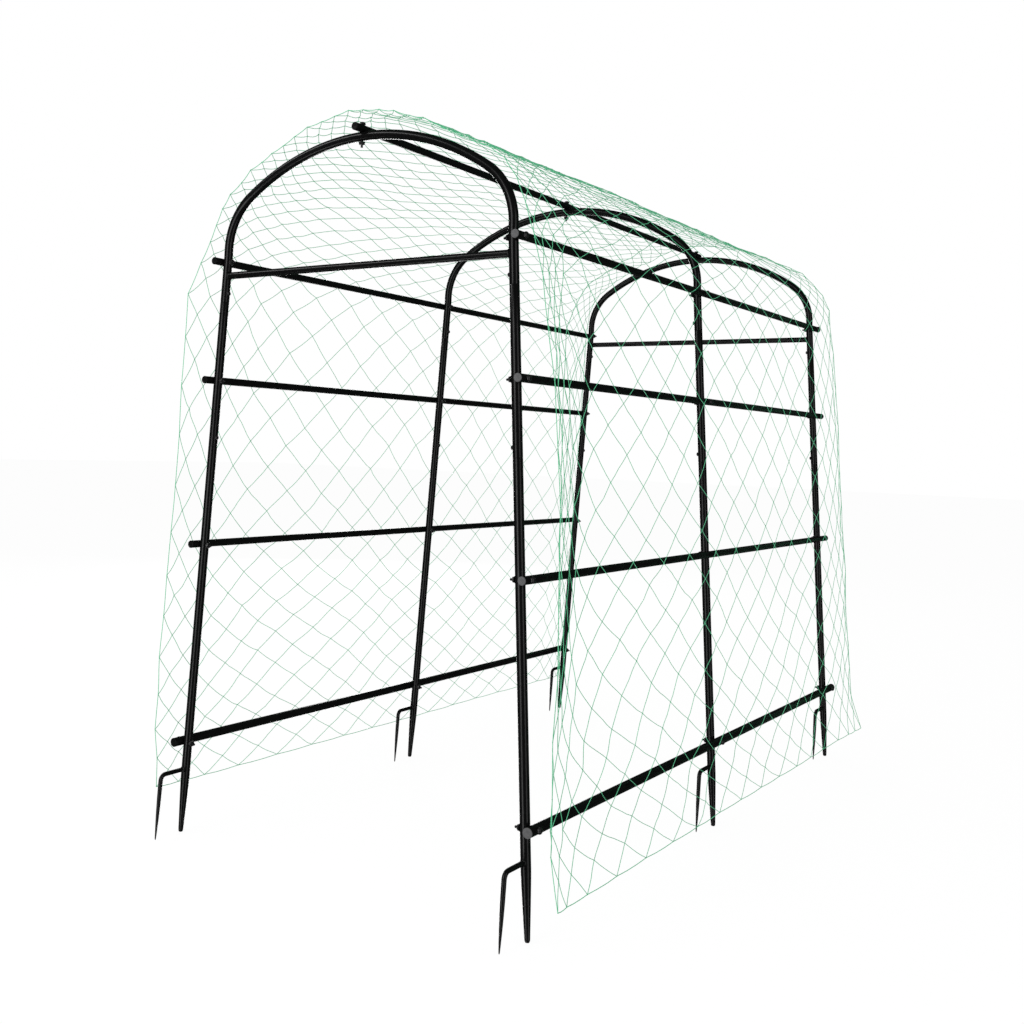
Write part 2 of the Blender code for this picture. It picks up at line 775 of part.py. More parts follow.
def make_net(base):
    """The net's six panels, hem to hem over the tunnel."""
    panels = net_panels()
    for name, line, seam in panels:
        start = NET_SEAM_GAP / 2 if seam > 0 else 0.0
        end = NET_SEAM_GAP / 2 if seam < len(panels) - 1 else 0.0
        place(name, net_panel_mesh(name, trimmed(line, start, end), seam), green_cord, base)


def empty(name, parent=None, at=(0.0, 0.0, 0.0)):
    """A point that pieces are placed from."""
    obj = bpy.data.objects.new(name, None)
    bpy.context.scene.collection.objects.link(obj)
    obj.parent = parent
    obj.location = at
    return obj


def main():
    clear_scene()
    base = empty("front_hoop_foot_line", at=(0.0, -RAIL_SPAN / 2, 0.0))
    origins = {}
    for index, hoop in enumerate(HOOPS):
        origins[hoop] = empty(hoop + "_hoop", base, (0.0, HOOP_SPACING * index, 0.0))
    holes = make_bolts(origins)
    for hoop, origin in origins.items():
        make_arch(hoop, origin, holes)
        make_legs(hoop, origin, holes)
    for hoop in (HOOPS[0], HOOPS[-1]):
        make_crossbar(hoop, origins[hoop])
    make_rails(base, holes)
    make_net(base)


main()
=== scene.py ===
"""Garden trellis tunnel: coated tube hoops and rails, their fasteners, and the plant net.

Metres, +Z up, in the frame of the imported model: X across the tunnel, Y along it from the
front hoop to the rear hoop, feet on Z = 0.
"""

import logging
import math
from dataclasses import dataclass, field
from enum import Enum
from typing import Iterable, Sequence

import bmesh
import bpy
from mathutils import Matrix, Vector, noise


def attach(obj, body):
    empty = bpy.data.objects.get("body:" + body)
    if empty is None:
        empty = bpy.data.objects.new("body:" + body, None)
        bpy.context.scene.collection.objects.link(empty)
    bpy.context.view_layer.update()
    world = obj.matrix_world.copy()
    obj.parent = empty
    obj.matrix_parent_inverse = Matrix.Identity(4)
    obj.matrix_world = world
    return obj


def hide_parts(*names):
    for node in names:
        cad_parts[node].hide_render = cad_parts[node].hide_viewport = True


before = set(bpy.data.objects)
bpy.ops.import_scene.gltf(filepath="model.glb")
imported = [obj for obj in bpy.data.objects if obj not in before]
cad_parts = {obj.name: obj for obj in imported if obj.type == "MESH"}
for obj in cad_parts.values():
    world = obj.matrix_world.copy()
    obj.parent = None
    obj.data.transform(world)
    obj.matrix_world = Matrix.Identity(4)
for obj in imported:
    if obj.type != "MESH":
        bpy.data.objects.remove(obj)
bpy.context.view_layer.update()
LOG = logging.getLogger("garden_trellis")
AXIS_X = Vector((1.0, 0.0, 0.0))
AXIS_Y = Vector((0.0, 1.0, 0.0))
AXIS_Z = Vector((0.0, 0.0, 1.0))
TUBE_EDGE = math.radians(40)
FASTENER_EDGE = math.radians(35)

Pair = tuple[float, float]
Triple = tuple[float, float, float]
Knot = tuple[int, int]
Values = dict[str, object]


class Side(Enum):
    """A side of the tunnel, seen from its front."""

    LEFT = "left"
    RIGHT = "right"

    @property
    def sign(self) -> int:
        """Direction of this side along X."""
        return -1 if self is Side.LEFT else 1


class HoopPlace(Enum):
    """A hoop's place along the tunnel."""

    FRONT = "front"
    MIDDLE = "middle"
    REAR = "rear"


class RailPlace(Enum):
    """A side rail's height on the legs."""

    BOTTOM = "bottom"
    MIDDLE = "middle"
    UPPER = "upper"
    SHOULDER = "shoulder"


class Slot(Enum):
    """Material slots of the record."""

    TUBE = "tube_black"
    BOLT = "bolt_black"
    NET = "net_green"


# Geometry


@dataclass(frozen=True)
class HoopLine:
    """Centre line of a hoop and what is placed from it. Its points are at Y = 0."""

    tube: float = 0.025
    rail_tube: float = 0.021
    bottom_rail_tube: float = 0.025
    wall: float = 0.0008
    seat_gap: float = 0.0003
    hoop_spacing: float = 1.10
    foot_half_width: float = 0.590
    shoulder_half_width: float = 0.487
    crown_height: float = 1.962
    crown_radius: float = 0.730
    corner_radius: float = 0.180
    shoulder_run: float = 0.015
    crown_half_steps: int = 3
    shoulder_rail_drop: float = 0.0175
    crossbar_drop: float = 0.040
    upper_joint_drop: float = 0.116
    upper_leg_length: float = 0.417
    upper_rail_drop: float = 0.228
    middle_rail_drop: float = 0.288
    bottom_rail_height: float = 0.259

    @property
    def radius(self) -> float:
        """Radius of the tube."""
        return self.tube / 2

    def rail_diameter(self, rail: str) -> float:
        """Tube of a named rail: the bottom ones are thicker than the other seven."""
        is_bottom = rail.endswith(RailPlace.BOTTOM.value)
        return self.bottom_rail_tube if is_bottom else self.rail_tube

    def rail_offset(self, diameter: float) -> float:
        """From the hoop's centre line to that of a rail of this diameter."""
        return self.radius + self.seat_gap + diameter / 2

    def head_seat(self, diameter: float) -> float:
        """From the hoop's centre line to the seat of a bolt's head on such a rail."""
        return self.rail_offset(diameter) + diameter / 2 + self.seat_gap

    @property
    def crown_centre(self) -> float:
        """Height of the crown's centre of curvature."""
        return self.crown_height - self.crown_radius

    @property
    def corner_centre(self) -> Vector:
        """Centre of curvature of the right corner.

        Returns:
            The point.
        """
        across = self.shoulder_half_width - self.corner_radius
        rise = math.sqrt((self.crown_radius - self.corner_radius) ** 2 - across**2)
        return Vector((across, 0.0, self.crown_centre + rise))

    @property
    def corner_sweep(self) -> float:
        """The angle that a corner turns through."""
        centre = self.corner_centre
        return math.atan2(centre.z - self.crown_centre, centre.x)

    @property
    def crown_flat(self) -> float:
        """Height at which the ridge bolts cross the hoops."""
        half_step = (math.pi - 2 * self.corner_sweep) / (2 * self.crown_half_steps + 1) / 2
        return self.crown_centre + self.crown_radius * math.cos(half_step)

    @property
    def knee(self) -> Vector:
        """Where the splayed right leg meets the upright run under the corner."""
        return Vector((self.shoulder_half_width, 0.0, self.corner_centre.z - self.shoulder_run))

    @property
    def shoulder_rail_height(self) -> float:
        """Height at which the shoulder rails cross the hoops."""
        return self.knee.z - self.shoulder_rail_drop

    @property
    def upper_joint(self) -> float:
        """Height of the joint between arch and upper leg."""
        return self.shoulder_rail_height - self.upper_joint_drop

    @property
    def lower_joint(self) -> float:
        """Height of the joint between upper and lower leg."""
        return self.upper_joint - self.upper_leg_length

    @property
    def crossbar_height(self) -> float:
        """Height of the crossbars' centre line."""
        return self.shoulder_rail_height - self.crossbar_drop

    def hoop_y(self, place: HoopPlace) -> float:
        """Where a hoop stands along the tunnel."""
        return self.hoop_spacing * (list(HoopPlace).index(place) - 1)

    def rail_height(self, rail: RailPlace) -> float:
        """Height at which a side rail crosses the legs.

        Args:
            rail: The rail.

        Returns:
            Its Z on the leg's centre line.
        """
        return {
            RailPlace.BOTTOM: self.bottom_rail_height,
            RailPlace.MIDDLE: self.lower_joint - self.middle_rail_drop,
            RailPlace.UPPER: self.upper_joint - self.upper_rail_drop,
            RailPlace.SHOULDER: self.shoulder_rail_height,
        }[rail]

    def leg_axis(self, side: Side) -> Vector:
        """Unit vector up a leg."""
        up = (self.knee - Vector((self.foot_half_width, 0.0, 0.0))).normalized()
        return Vector((up.x * side.sign, 0.0, up.z))

    def leg_point(self, side: Side, height: float) -> Vector:
        """The point of a leg's centre line at a height."""
        up = self.leg_axis(side)
        return Vector((self.foot_half_width * side.sign, 0.0, 0.0)) + up * (height / up.z)

    def leg_outward(self, side: Side) -> Vector:
        """Unit vector square to a leg, out of the tunnel."""
        return AXIS_Y.cross(self.leg_axis(side)) * side.sign

    def crossings(self) -> dict[str, tuple[Vector, Vector]]:
        """Hoop centre and outward direction where each rail crosses a hoop.

        Returns:
            The pairs by rail name.
        """
        found = {"ridge": (Vector((0.0, 0.0, self.crown_flat)), AXIS_Z.copy())}
        for side in Side:
            for rail in RailPlace:
                point = self.leg_point(side, self.rail_height(rail))
                found[f"{side.value}_{rail.value}"] = (point, self.leg_outward(side))
        return found

    def arch_points(self, step: float, away: float = 0.0) -> list[Vector]:
        """Points over both corners and the crown, from right to left.

        Args:
            step: Largest turn between points, in radians.
            away: Distance outside the centre line.

        Returns:
            The points.
        """
        sweep = self.corner_sweep
        half = math.pi / 2 - sweep
        corner, reach = self.corner_centre, self.corner_radius + away
        count = math.ceil(sweep / step)
        right = [corner + reach * direction(sweep * i / count) for i in range(count + 1)]
        top, reach = AXIS_Z * self.crown_centre, self.crown_radius + away
        count = math.ceil(half / step)
        right += [top + reach * direction(sweep + half * i / count) for i in range(1, count + 1)]
        return right + [Vector((-point.x, 0.0, point.z)) for point in right[-2::-1]]


def direction(turn: float) -> Vector:
    """Unit vector in the hoop's plane, at an angle above +X."""
    return Vector((math.cos(turn), 0.0, math.sin(turn)))


@dataclass
class Ring:
    """One ring of a swept skin: its centre, plane and radius."""

    centre: Vector
    across: Vector
    along: Vector
    radius: float

    def reach(self, turn: float) -> float:
        """From the centre to the outline in a direction: the radius all round."""
        return self.radius

    def point(self, turn: float) -> Vector:
        """The outline's point in a direction."""
        spoke = self.across * math.cos(turn) + self.along * math.sin(turn)
        return self.centre + spoke * self.reach(turn)


class HexRing(Ring):
    """A ring whose outline is a hexagon. Its radius is that to the flats."""

    def reach(self, turn: float) -> float:
        """From the centre to the outline in a direction: longest at the six corners."""
        from_flat = (turn + math.pi / 6) % (math.pi / 3) - math.pi / 6
        return self.radius / math.cos(from_flat)


def upright_rings(profile: Iterable[Pair], shape: type[Ring] = Ring) -> list[Ring]:
    """Rings round the Z axis, one for each (height, radius)."""
    return [shape(AXIS_Z * height, AXIS_X, AXIS_Y, radius) for height, radius in profile]


def new_object(name: str, data: bpy.types.ID) -> bpy.types.Object:
    """Makes an object and shows it in the scene.

    Args:
        name: Its name.
        data: Its mesh, light or camera.

    Returns:
        The object, at the origin.
    """
    obj = bpy.data.objects.new(name, data)
    bpy.context.scene.collection.objects.link(obj)
    return obj


def discard(obj: bpy.types.Object) -> None:
    """Deletes an object that only served to make another."""
    bpy.data.objects.remove(obj, do_unlink=True)


def shade_round(mesh: bpy.types.Mesh, edge: float) -> None:
    """Shades a mesh smooth, but keeps edges sharp that turn by more than an angle."""
    mesh.shade_smooth()
    mesh.set_sharp_from_angle(angle=edge)


def face_outwards(mesh: bpy.types.Mesh) -> None:
    """Turns a mesh's faces outwards and shades it as round tube.

    Args:
        mesh: The mesh.
    """
    work = bmesh.new()
    work.from_mesh(mesh)
    bmesh.ops.recalc_face_normals(work, faces=work.faces)
    work.to_mesh(mesh)
    work.free()
    shade_round(mesh, TUBE_EDGE)


def applied(obj: bpy.types.Object, modifier: bpy.types.Modifier) -> bpy.types.Mesh:
    """Takes a modifier off an object and gives what it made.

    Args:
        obj: The object.
        modifier: Its only modifier.

    Returns:
        A plain mesh.
    """
    obj.update_tag()
    depsgraph = bpy.context.evaluated_depsgraph_get()
    mesh = bpy.data.meshes.new_from_object(
        obj.evaluated_get(depsgraph), preserve_all_data_layers=True, depsgraph=depsgraph
    )
    obj.modifiers.remove(modifier)
    return mesh


@dataclass
class Piece:
    """A visible piece under construction, in world place."""

    name: str
    vertices: list[Vector] = field(default_factory=list)
    faces: list[tuple[int, ...]] = field(default_factory=list)

    def skin(self, rings: Sequence[Ring], sides: int) -> "Piece":
        """Adds a closed skin through rings, capped at both ends.

        Args:
            rings: The rings, end to end.
            sides: Corners to a ring.

        Returns:
            This piece.
        """
        first = len(self.vertices)
        last = first + (len(rings) - 1) * sides
        turns = [2 * math.pi * side / sides for side in range(sides)]
        self.vertices += [ring.point(turn) for ring in rings for turn in turns]
        for low in range(first, last, sides):
            for side in range(sides):
                start, end = low + side, low + (side + 1) % sides
                self.faces.append((start, end, end + sides, start + sides))
        self.faces += [tuple(range(end, end + sides)) for end in (first, last)]
        return self

    def build(self, material: bpy.types.Material | None = None) -> bpy.types.Object:
        """Makes the object.

        Args:
            material: Its material, or None for a model that a tree dresses.

        Returns:
            The object, at the origin.
        """
        mesh = bpy.data.meshes.new(self.name)
        mesh.from_pydata(self.vertices, [], self.faces)
        face_outwards(mesh)
        if material:
            mesh.materials.append(material)
        return new_object(self.name, mesh)


def settle(obj: bpy.types.Object, nodes: Sequence[str] = ()) -> None:
    """Hands a finished piece to the frame.

    Args:
        obj: The piece.
        nodes: The nodes that it stands for.
    """
    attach(obj, "root")
    if nodes:
        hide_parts(*nodes)
    stands_for = ", ".join(nodes) or "itself"
    LOG.info("%s: %d faces, stands for %s", obj.name, len(obj.data.polygons), stands_for)


# Node trees


class NodeTree:
    """A node tree under construction."""

    def __init__(self, tree: bpy.types.NodeTree) -> None:
        """Starts on a tree."""
        self.tree = tree

    def feed(self, socket: bpy.types.NodeSocket, value: object) -> None:
        """Links or sets an input.

        Args:
            socket: The input.
            value: A socket, a value, or the RGB of a colour.
        """
        if isinstance(value, bpy.types.NodeSocket):
            self.tree.links.new(value, socket)
        elif socket.type == "RGBA":
            socket.default_value = (*value, 1.0)
        else:
            socket.default_value = value

    def node(self, kind: str, links: Values | None = None, **settings: object) -> bpy.types.Node:
        """Adds a node.

        Args:
            kind: The node's type.
            links: Sockets or values for its inputs, by identifier or name.
            settings: Properties of the node.

        Returns:
            The node.
        """
        made = self.tree.nodes.new(kind)
        for key, value in settings.items():
            setattr(made, key, value)
        for key, value in (links or {}).items():
            live = [socket for socket in made.inputs if socket.enabled]
            found = [s for s in live if s.identifier == key] or [s for s in live if s.name == key]
            self.feed(found[0], value)
        return made

    def result(
        self, kind: str, links: Values | None = None, **settings: object
    ) -> bpy.types.NodeSocket:
        """Adds a node as node() does, and gives its first output in use."""
        return next(s for s in self.node(kind, links, **settings).outputs if s.enabled)

    def maths(self, operation: str, first: object, second: object) -> bpy.types.NodeSocket:
        """Works out one value from two values or sockets."""
        links = {"Value": first, "Value_001": second}
        return self.result("ShaderNodeMath", links, operation=operation)


class GeometryTree(NodeTree):
    """A Geometry Nodes tree under construction, whose sizes are named inputs."""

    def __init__(self, name: str) -> None:
        """Starts a tree with a geometry in and a geometry out.

        Args:
            name: The tree's name.
        """
        super().__init__(bpy.data.node_groups.new(name, "GeometryNodeTree"))
        for way in ("INPUT", "OUTPUT"):
            self.tree.interface.new_socket(
                "Geometry", in_out=way, socket_type="NodeSocketGeometry"
            )
        self.source = self.node("NodeGroupInput")
        self.target = self.node("NodeGroupOutput")
        self.identifiers: dict[str, str] = {}

    def size(self, name: str, kind: str) -> bpy.types.NodeSocket:
        """Adds a named input.

        Args:
            name: The input's name.
            kind: What it takes, as the end of its socket type.

        Returns:
            The socket that it feeds from.
        """
        socket_type = f"NodeSocket{kind}"
        item = self.tree.interface.new_socket(name, in_out="INPUT", socket_type=socket_type)
        self.identifiers[name] = item.identifier
        return self.source.outputs[name]

    def attribute(self, name: str, kind: str) -> bpy.types.NodeSocket:
        """Reads an attribute of the geometry, by its name and data type."""
        return self.result("GeometryNodeInputNamedAttribute", {"Name": name}, data_type=kind)

    def vector(self, operation: str, **links: object) -> bpy.types.NodeSocket:
        """Works out a vector from vectors or sockets."""
        return self.result("ShaderNodeVectorMath", links, operation=operation)

    def mark(self, geometry: object, name: str, value: object) -> bpy.types.NodeSocket:
        """Stores a value under a name on every point of a geometry."""
        links = {"Geometry": geometry, "Name": name, "Value": value}
        return self.result(
            "GeometryNodeStoreNamedAttribute", links, data_type="FLOAT", domain="POINT"
        )

    def finish(self, geometry: bpy.types.NodeSocket, material: bpy.types.NodeSocket) -> None:
        """Ends the tree: instances made real, and a material set.

        Args:
            geometry: What the tree has made.
            material: The material input.
        """
        real = self.result("GeometryNodeRealizeInstances", {"Geometry": geometry})
        links = {"Geometry": real, "Material": material}
        dressed = self.result("GeometryNodeSetMaterial", links)
        self.feed(self.target.inputs["Geometry"], dressed)

    def run(self, name: str, source: bpy.types.Mesh, values: Values) -> bpy.types.Object:
        """Runs the tree on a mesh and keeps the result as a plain mesh.

        Args:
            name: Name of the piece.
            source: The mesh that goes in. It is removed afterwards.
            values: The inputs' values, by name.

        Returns:
            The piece, at the origin.
        """
        holder = new_object(name + "_source", source)
        modifier = holder.modifiers.new("nodes", "NODES")
        modifier.node_group = self.tree
        for key, value in values.items():
            modifier[self.identifiers[key]] = value
        mesh = applied(holder, modifier)
        discard(holder)
        bpy.data.meshes.remove(source)
        mesh.name = name
        return new_object(name, mesh)


def marked_mesh(
    name: str, points: Sequence[Vector], edges: Sequence[tuple[int, int]],
    mark: tuple[str, str], values: Sequence[object],
) -> bpy.types.Mesh:
    """Loose points or single lines with a value on each point, for a tree to work on.

    Args:
        name: Name of the mesh.
        points: Its points.
        edges: Its lines, as pairs of point numbers.
        mark: Name and data type of the value.
        values: The value of each point.

    Returns:
        The mesh.
    """
    mesh = bpy.data.meshes.new(name)
    mesh.from_pydata(points, edges, [])
    attribute, kind = mark
    for item, value in zip(mesh.attributes.new(attribute, kind, "POINT").data, values):
        setattr(item, "vector" if kind == "FLOAT_VECTOR" else "value", value)
    return mesh


def turned_points(name: str, points: Sequence[Vector], turns: Sequence[Vector]) -> bpy.types.Mesh:
    """Loose points that each carry the Euler angles of the part that is set on them."""
    return marked_mesh(name, points, [], ("turn", "FLOAT_VECTOR"), turns)


def facing(outward: Vector) -> Vector:
    """Euler angles that turn +Z to a direction square to Y, and keep +Y along the tunnel."""
    return Vector(Matrix((AXIS_Y.cross(outward), AXIS_Y, outward)).transposed().to_euler())


def scatter_tree() -> GeometryTree:
    """A tree that sets one part on every point, turned as the point says.

    Returns:
        The tree, with inputs Part and Material.
    """
    tree = GeometryTree("set_parts_on_points")
    part = tree.size("Part", "Object")
    material = tree.size("Material", "Material")
    model = tree.node("GeometryNodeObjectInfo", {"Object": part}, transform_space="ORIGINAL")
    euler = tree.attribute("turn", "FLOAT_VECTOR")
    links = {
        "Points": tree.source.outputs["Geometry"],
        "Instance": model.outputs["Geometry"],
        "Rotation": tree.result("FunctionNodeEulerToRotation", {"Euler": euler}),
    }
    tree.finish(tree.result("GeometryNodeInstanceOnPoints", links), material)
    return tree


def sweep_tree() -> GeometryTree:
    """A tree that turns a line into a round bar whose radius follows the line's attribute.

    Returns:
        The tree, with inputs Sides and Material.
    """
    tree = GeometryTree("round_bar_along_line")
    sides = tree.size("Sides", "Int")
    material = tree.size("Material", "Material")
    line = tree.source.outputs["Geometry"]
    circle = {"Resolution": sides, "Radius": 1.0}
    links = {
        "Curve": tree.result("GeometryNodeMeshToCurve", {"Mesh": line}),
        "Profile Curve": tree.result("GeometryNodeCurvePrimitiveCircle", circle),
        "Scale": tree.attribute("radius", "FLOAT"),
        "Fill Caps": True,
    }
    tree.finish(tree.result("GeometryNodeCurveToMesh", links), material)
    return tree


def strand_tree() -> GeometryTree:
    """A tree that turns single edges into slack cord, and ties a knot on each marked point.

    Returns:
        The tree, with inputs Cord, Knot, Sag, Wander, Pieces, Sides, Seed and Material.
    """
    tree = GeometryTree("knotted_net")
    cord, knot, sag, wander = (tree.size(n, "Float") for n in ("Cord", "Knot", "Sag", "Wander"))
    pieces, sides, seed = (tree.size(name, "Int") for name in ("Pieces", "Sides", "Seed"))
    material = tree.size("Material", "Material")
    lattice = tree.source.outputs["Geometry"]

    lines = tree.result("GeometryNodeMeshToCurve", {"Mesh": lattice})
    fine = tree.result("GeometryNodeResampleCurve", {"Curve": lines, "Count": pieces})
    spline = tree.node("GeometryNodeSplineParameter")
    factor, length = spline.outputs["Factor"], spline.outputs["Length"]
    hump = tree.maths("MULTIPLY", factor, tree.maths("SUBTRACT", 1.0, factor))
    bow = tree.maths("MULTIPLY", 4.0, hump)
    cloud = tree.node("ShaderNodeTexNoise", {"Scale": 9.0, "Detail": 1.0}).outputs["Color"]
    centred = tree.vector("SUBTRACT", Vector=cloud, Vector_001=(0.5, 0.5, 0.5))
    swing = tree.vector("SCALE", Vector=centred, Scale=tree.maths("MULTIPLY", bow, wander))
    fall = tree.maths("MULTIPLY", bow, tree.maths("MULTIPLY", sag, -1.0))
    down = tree.result("ShaderNodeCombineXYZ", {"Z": fall})
    moved = tree.vector("ADD", Vector=swing, Vector_001=down)
    hung = tree.result("GeometryNodeSetPosition", {"Geometry": fine, "Offset": moved})
    circle = {"Resolution": sides, "Radius": 0.5}
    round_profile = tree.result("GeometryNodeCurvePrimitiveCircle", circle)
    links = {
        "Curve": tree.mark(hung, "along", length),
        "Profile Curve": tree.mark(round_profile, "around", factor),
        "Scale": cord,
        "Fill Caps": True,
    }
    strands = tree.result("GeometryNodeCurveToMesh", links)

    reach = {"Min": (0.0, 0.0, 0.0), "Max": (math.pi, math.pi, math.pi), "Seed": seed}
    euler = tree.result("FunctionNodeRandomValue", reach, data_type="FLOAT_VECTOR")
    links = {
        "Points": lattice,
        "Selection": tree.attribute("knot", "BOOLEAN"),
        "Instance": tree.result("GeometryNodeMeshIcoSphere", {"Radius": 0.5, "Subdivisions": 1}),
        "Rotation": tree.result("FunctionNodeEulerToRotation", {"Euler": euler}),
        "Scale": tree.result("ShaderNodeCombineXYZ", {"X": knot, "Y": knot, "Z": knot}),
    }
    knots = tree.result("GeometryNodeInstanceOnPoints", links)
    both = tree.node("GeometryNodeJoinGeometry")
    for part in (strands, knots):
        tree.feed(both.inputs[0], part)
    smooth = tree.result("GeometryNodeSetShadeSmooth", {"Geometry": both.outputs[0]})
    tree.finish(smooth, material)
    return tree


# Materials


class ShaderTree(NodeTree):
    """A material's, group's or world's shader tree under construction."""

    def blend(self, mask: object, low: object, high: object) -> bpy.types.NodeSocket:
        """Mixes two colours by a mask."""
        links = {"Factor_Float": mask, "A_Color": low, "B_Color": high}
        return self.result("ShaderNodeMix", links, data_type="RGBA")

    def scaled(self, value: object, low: object, high: object) -> bpy.types.NodeSocket:
        """Maps 0 to 1 onto another range."""
        return self.result("ShaderNodeMapRange", {"Value": value, "To Min": low, "To Max": high})

    def share(self, value: object, low: float, high: float) -> bpy.types.NodeSocket:
        """Maps a range onto 0 to 1."""
        links = {"Value": value, "From Min": low, "From Max": high}
        return self.result("ShaderNodeMapRange", links)

    def grain(self, scale: object, detail: float) -> bpy.types.NodeSocket:
        """Noise that stays on the piece."""
        spot = self.node("ShaderNodeTexCoord").outputs["Object"]
        return self.result("ShaderNodeTexNoise", {"Vector": spot, "Scale": scale, "Detail": detail})


class EffectTree(ShaderTree):
    """A shader group of values under construction."""

    def __init__(self, name: str, inputs: dict[str, float], outputs: Sequence[str]) -> None:
        """Starts a group.

        Args:
            name: The group's name.
            inputs: Input names and their values.
            outputs: Output names.
        """
        super().__init__(bpy.data.node_groups.new(name, "ShaderNodeTree"))
        add = self.tree.interface.new_socket
        for key, value in inputs.items():
            add(key, in_out="INPUT", socket_type="NodeSocketFloat").default_value = value
        for key in outputs:
            add(key, in_out="OUTPUT", socket_type="NodeSocketFloat")
        self.source = self.node("NodeGroupInput").outputs

    def sized_grain(self, size: str, detail: float) -> bpy.types.NodeSocket:
        """Noise whose blotches are as wide as an input says."""
        return self.grain(self.maths("DIVIDE", 1.0, self.source[size]), detail)


def pebbled_coat() -> bpy.types.NodeTree:
    """Fine pebbled grain of a baked coat, with broad unevenness under it.

    Returns:
        The group: Grain Size and Patch Size in metres in; Height and Patches out.
    """
    sizes = {"Grain Size": 0.0015, "Patch Size": 0.06}
    shade = EffectTree("pebbled_coat", sizes, ("Height", "Patches"))
    fine = shade.sized_grain("Grain Size", detail=1.5)
    broad = shade.sized_grain("Patch Size", detail=4.0)
    shade.node("NodeGroupOutput", {"Height": fine, "Patches": broad})
    return shade.tree


def settled_dust() -> bpy.types.NodeTree:
    """Dust that settles on what faces up, broken into blotches.

    Returns:
        The group: Amount and Blotch Size in; Mask out.
    """
    shade = EffectTree("settled_dust", {"Amount": 0.3, "Blotch Size": 0.02}, ("Mask",))
    normal = shade.node("ShaderNodeNewGeometry").outputs["Normal"]
    up = shade.node("ShaderNodeSeparateXYZ", {"Vector": normal}).outputs["Z"]
    blotches = shade.sized_grain("Blotch Size", detail=5.0)
    uneven = shade.share(blotches, low=0.42, high=0.7)
    both = shade.maths("MULTIPLY", shade.share(up, low=0.1, high=1.0), uneven)
    shade.node("NodeGroupOutput", {"Mask": shade.maths("MULTIPLY", both, shade.source["Amount"])})
    return shade.tree


@dataclass(frozen=True)
class SurfaceEffects:
    """Shader groups that more than one finish uses."""

    pebble: bpy.types.NodeTree = field(default_factory=pebbled_coat)
    dust: bpy.types.NodeTree = field(default_factory=settled_dust)


class MaterialTree(ShaderTree):
    """A material under construction, on its Principled shader."""

    def __init__(self, name: str, specular: float) -> None:
        """Starts a material.

        Args:
            name: Its name.
            specular: Its specular level.
        """
        self.material = bpy.data.materials.new(name)
        self.material.use_nodes = True
        super().__init__(self.material.node_tree)
        self.shader = self.tree.nodes["Principled BSDF"]
        self.shader.inputs["Specular IOR Level"].default_value = specular

    def group(self, effect: bpy.types.NodeTree, **sizes: float) -> bpy.types.NodeOutputs:
        """Adds a shader group, whose inputs are named with _ for a blank, and gives its outputs."""
        links = {key.replace("_", " "): value for key, value in sizes.items()}
        return self.node("ShaderNodeGroup", links, node_tree=effect).outputs

    def dress(self, colour: object, rough: object, height: object, depth: float) -> None:
        """Gives the shader its colour, roughness and relief.

        Args:
            colour: The colour.
            rough: The roughness.
            height: The relief, from 0 to 1.
            depth: The relief's depth in metres.
        """
        bump = self.result("ShaderNodeBump", {"Height": height, "Distance": depth})
        for key, value in (("Base Color", colour), ("Roughness", rough), ("Normal", bump)):
            self.feed(self.shader.inputs[key], value)


@dataclass(frozen=True)
class CoatedMetal:
    """A pebbled or plated metal finish."""

    name: str
    colour: Triple
    dust_colour: Triple
    roughness: Pair
    specular: float
    grain_size: float
    grain_depth: float
    dust: float

    def material(self, effects: SurfaceEffects) -> bpy.types.Material:
        """Builds the material.

        Args:
            effects: The shared shader groups.

        Returns:
            The material.
        """
        shade = MaterialTree(self.name, self.specular)
        pebble = shade.group(effects.pebble, Grain_Size=self.grain_size)
        mask = shade.group(effects.dust, Amount=self.dust)["Mask"]
        colour = shade.blend(mask, self.colour, self.dust_colour)
        rough = shade.scaled(pebble["Patches"], *self.roughness)
        shade.dress(colour, rough, pebble["Height"], self.grain_depth)
        return shade.material


@dataclass(frozen=True)
class MouldedPlastic:
    """Moulded plastic with a faint spark-eroded texture."""

    name: str
    colour: Triple
    roughness: Pair
    specular: float
    grain_size: float = 0.0008
    grain_depth: float = 0.00003
    patch_size: float = 0.008
    darkest: float = 0.8

    def material(self, effects: SurfaceEffects) -> bpy.types.Material:
        """Builds the material.

        Args:
            effects: The shared shader groups.

        Returns:
            The material.
        """
        shade = MaterialTree(self.name, self.specular)
        sizes = {"Grain_Size": self.grain_size, "Patch_Size": self.patch_size}
        pebble = shade.group(effects.pebble, **sizes)
        darker = tuple(channel * self.darkest for channel in self.colour)
        colour = shade.blend(pebble["Patches"], darker, self.colour)
        rough = shade.scaled(pebble["Patches"], *self.roughness)
        shade.dress(colour, rough, pebble["Height"], self.grain_depth)
        return shade.material


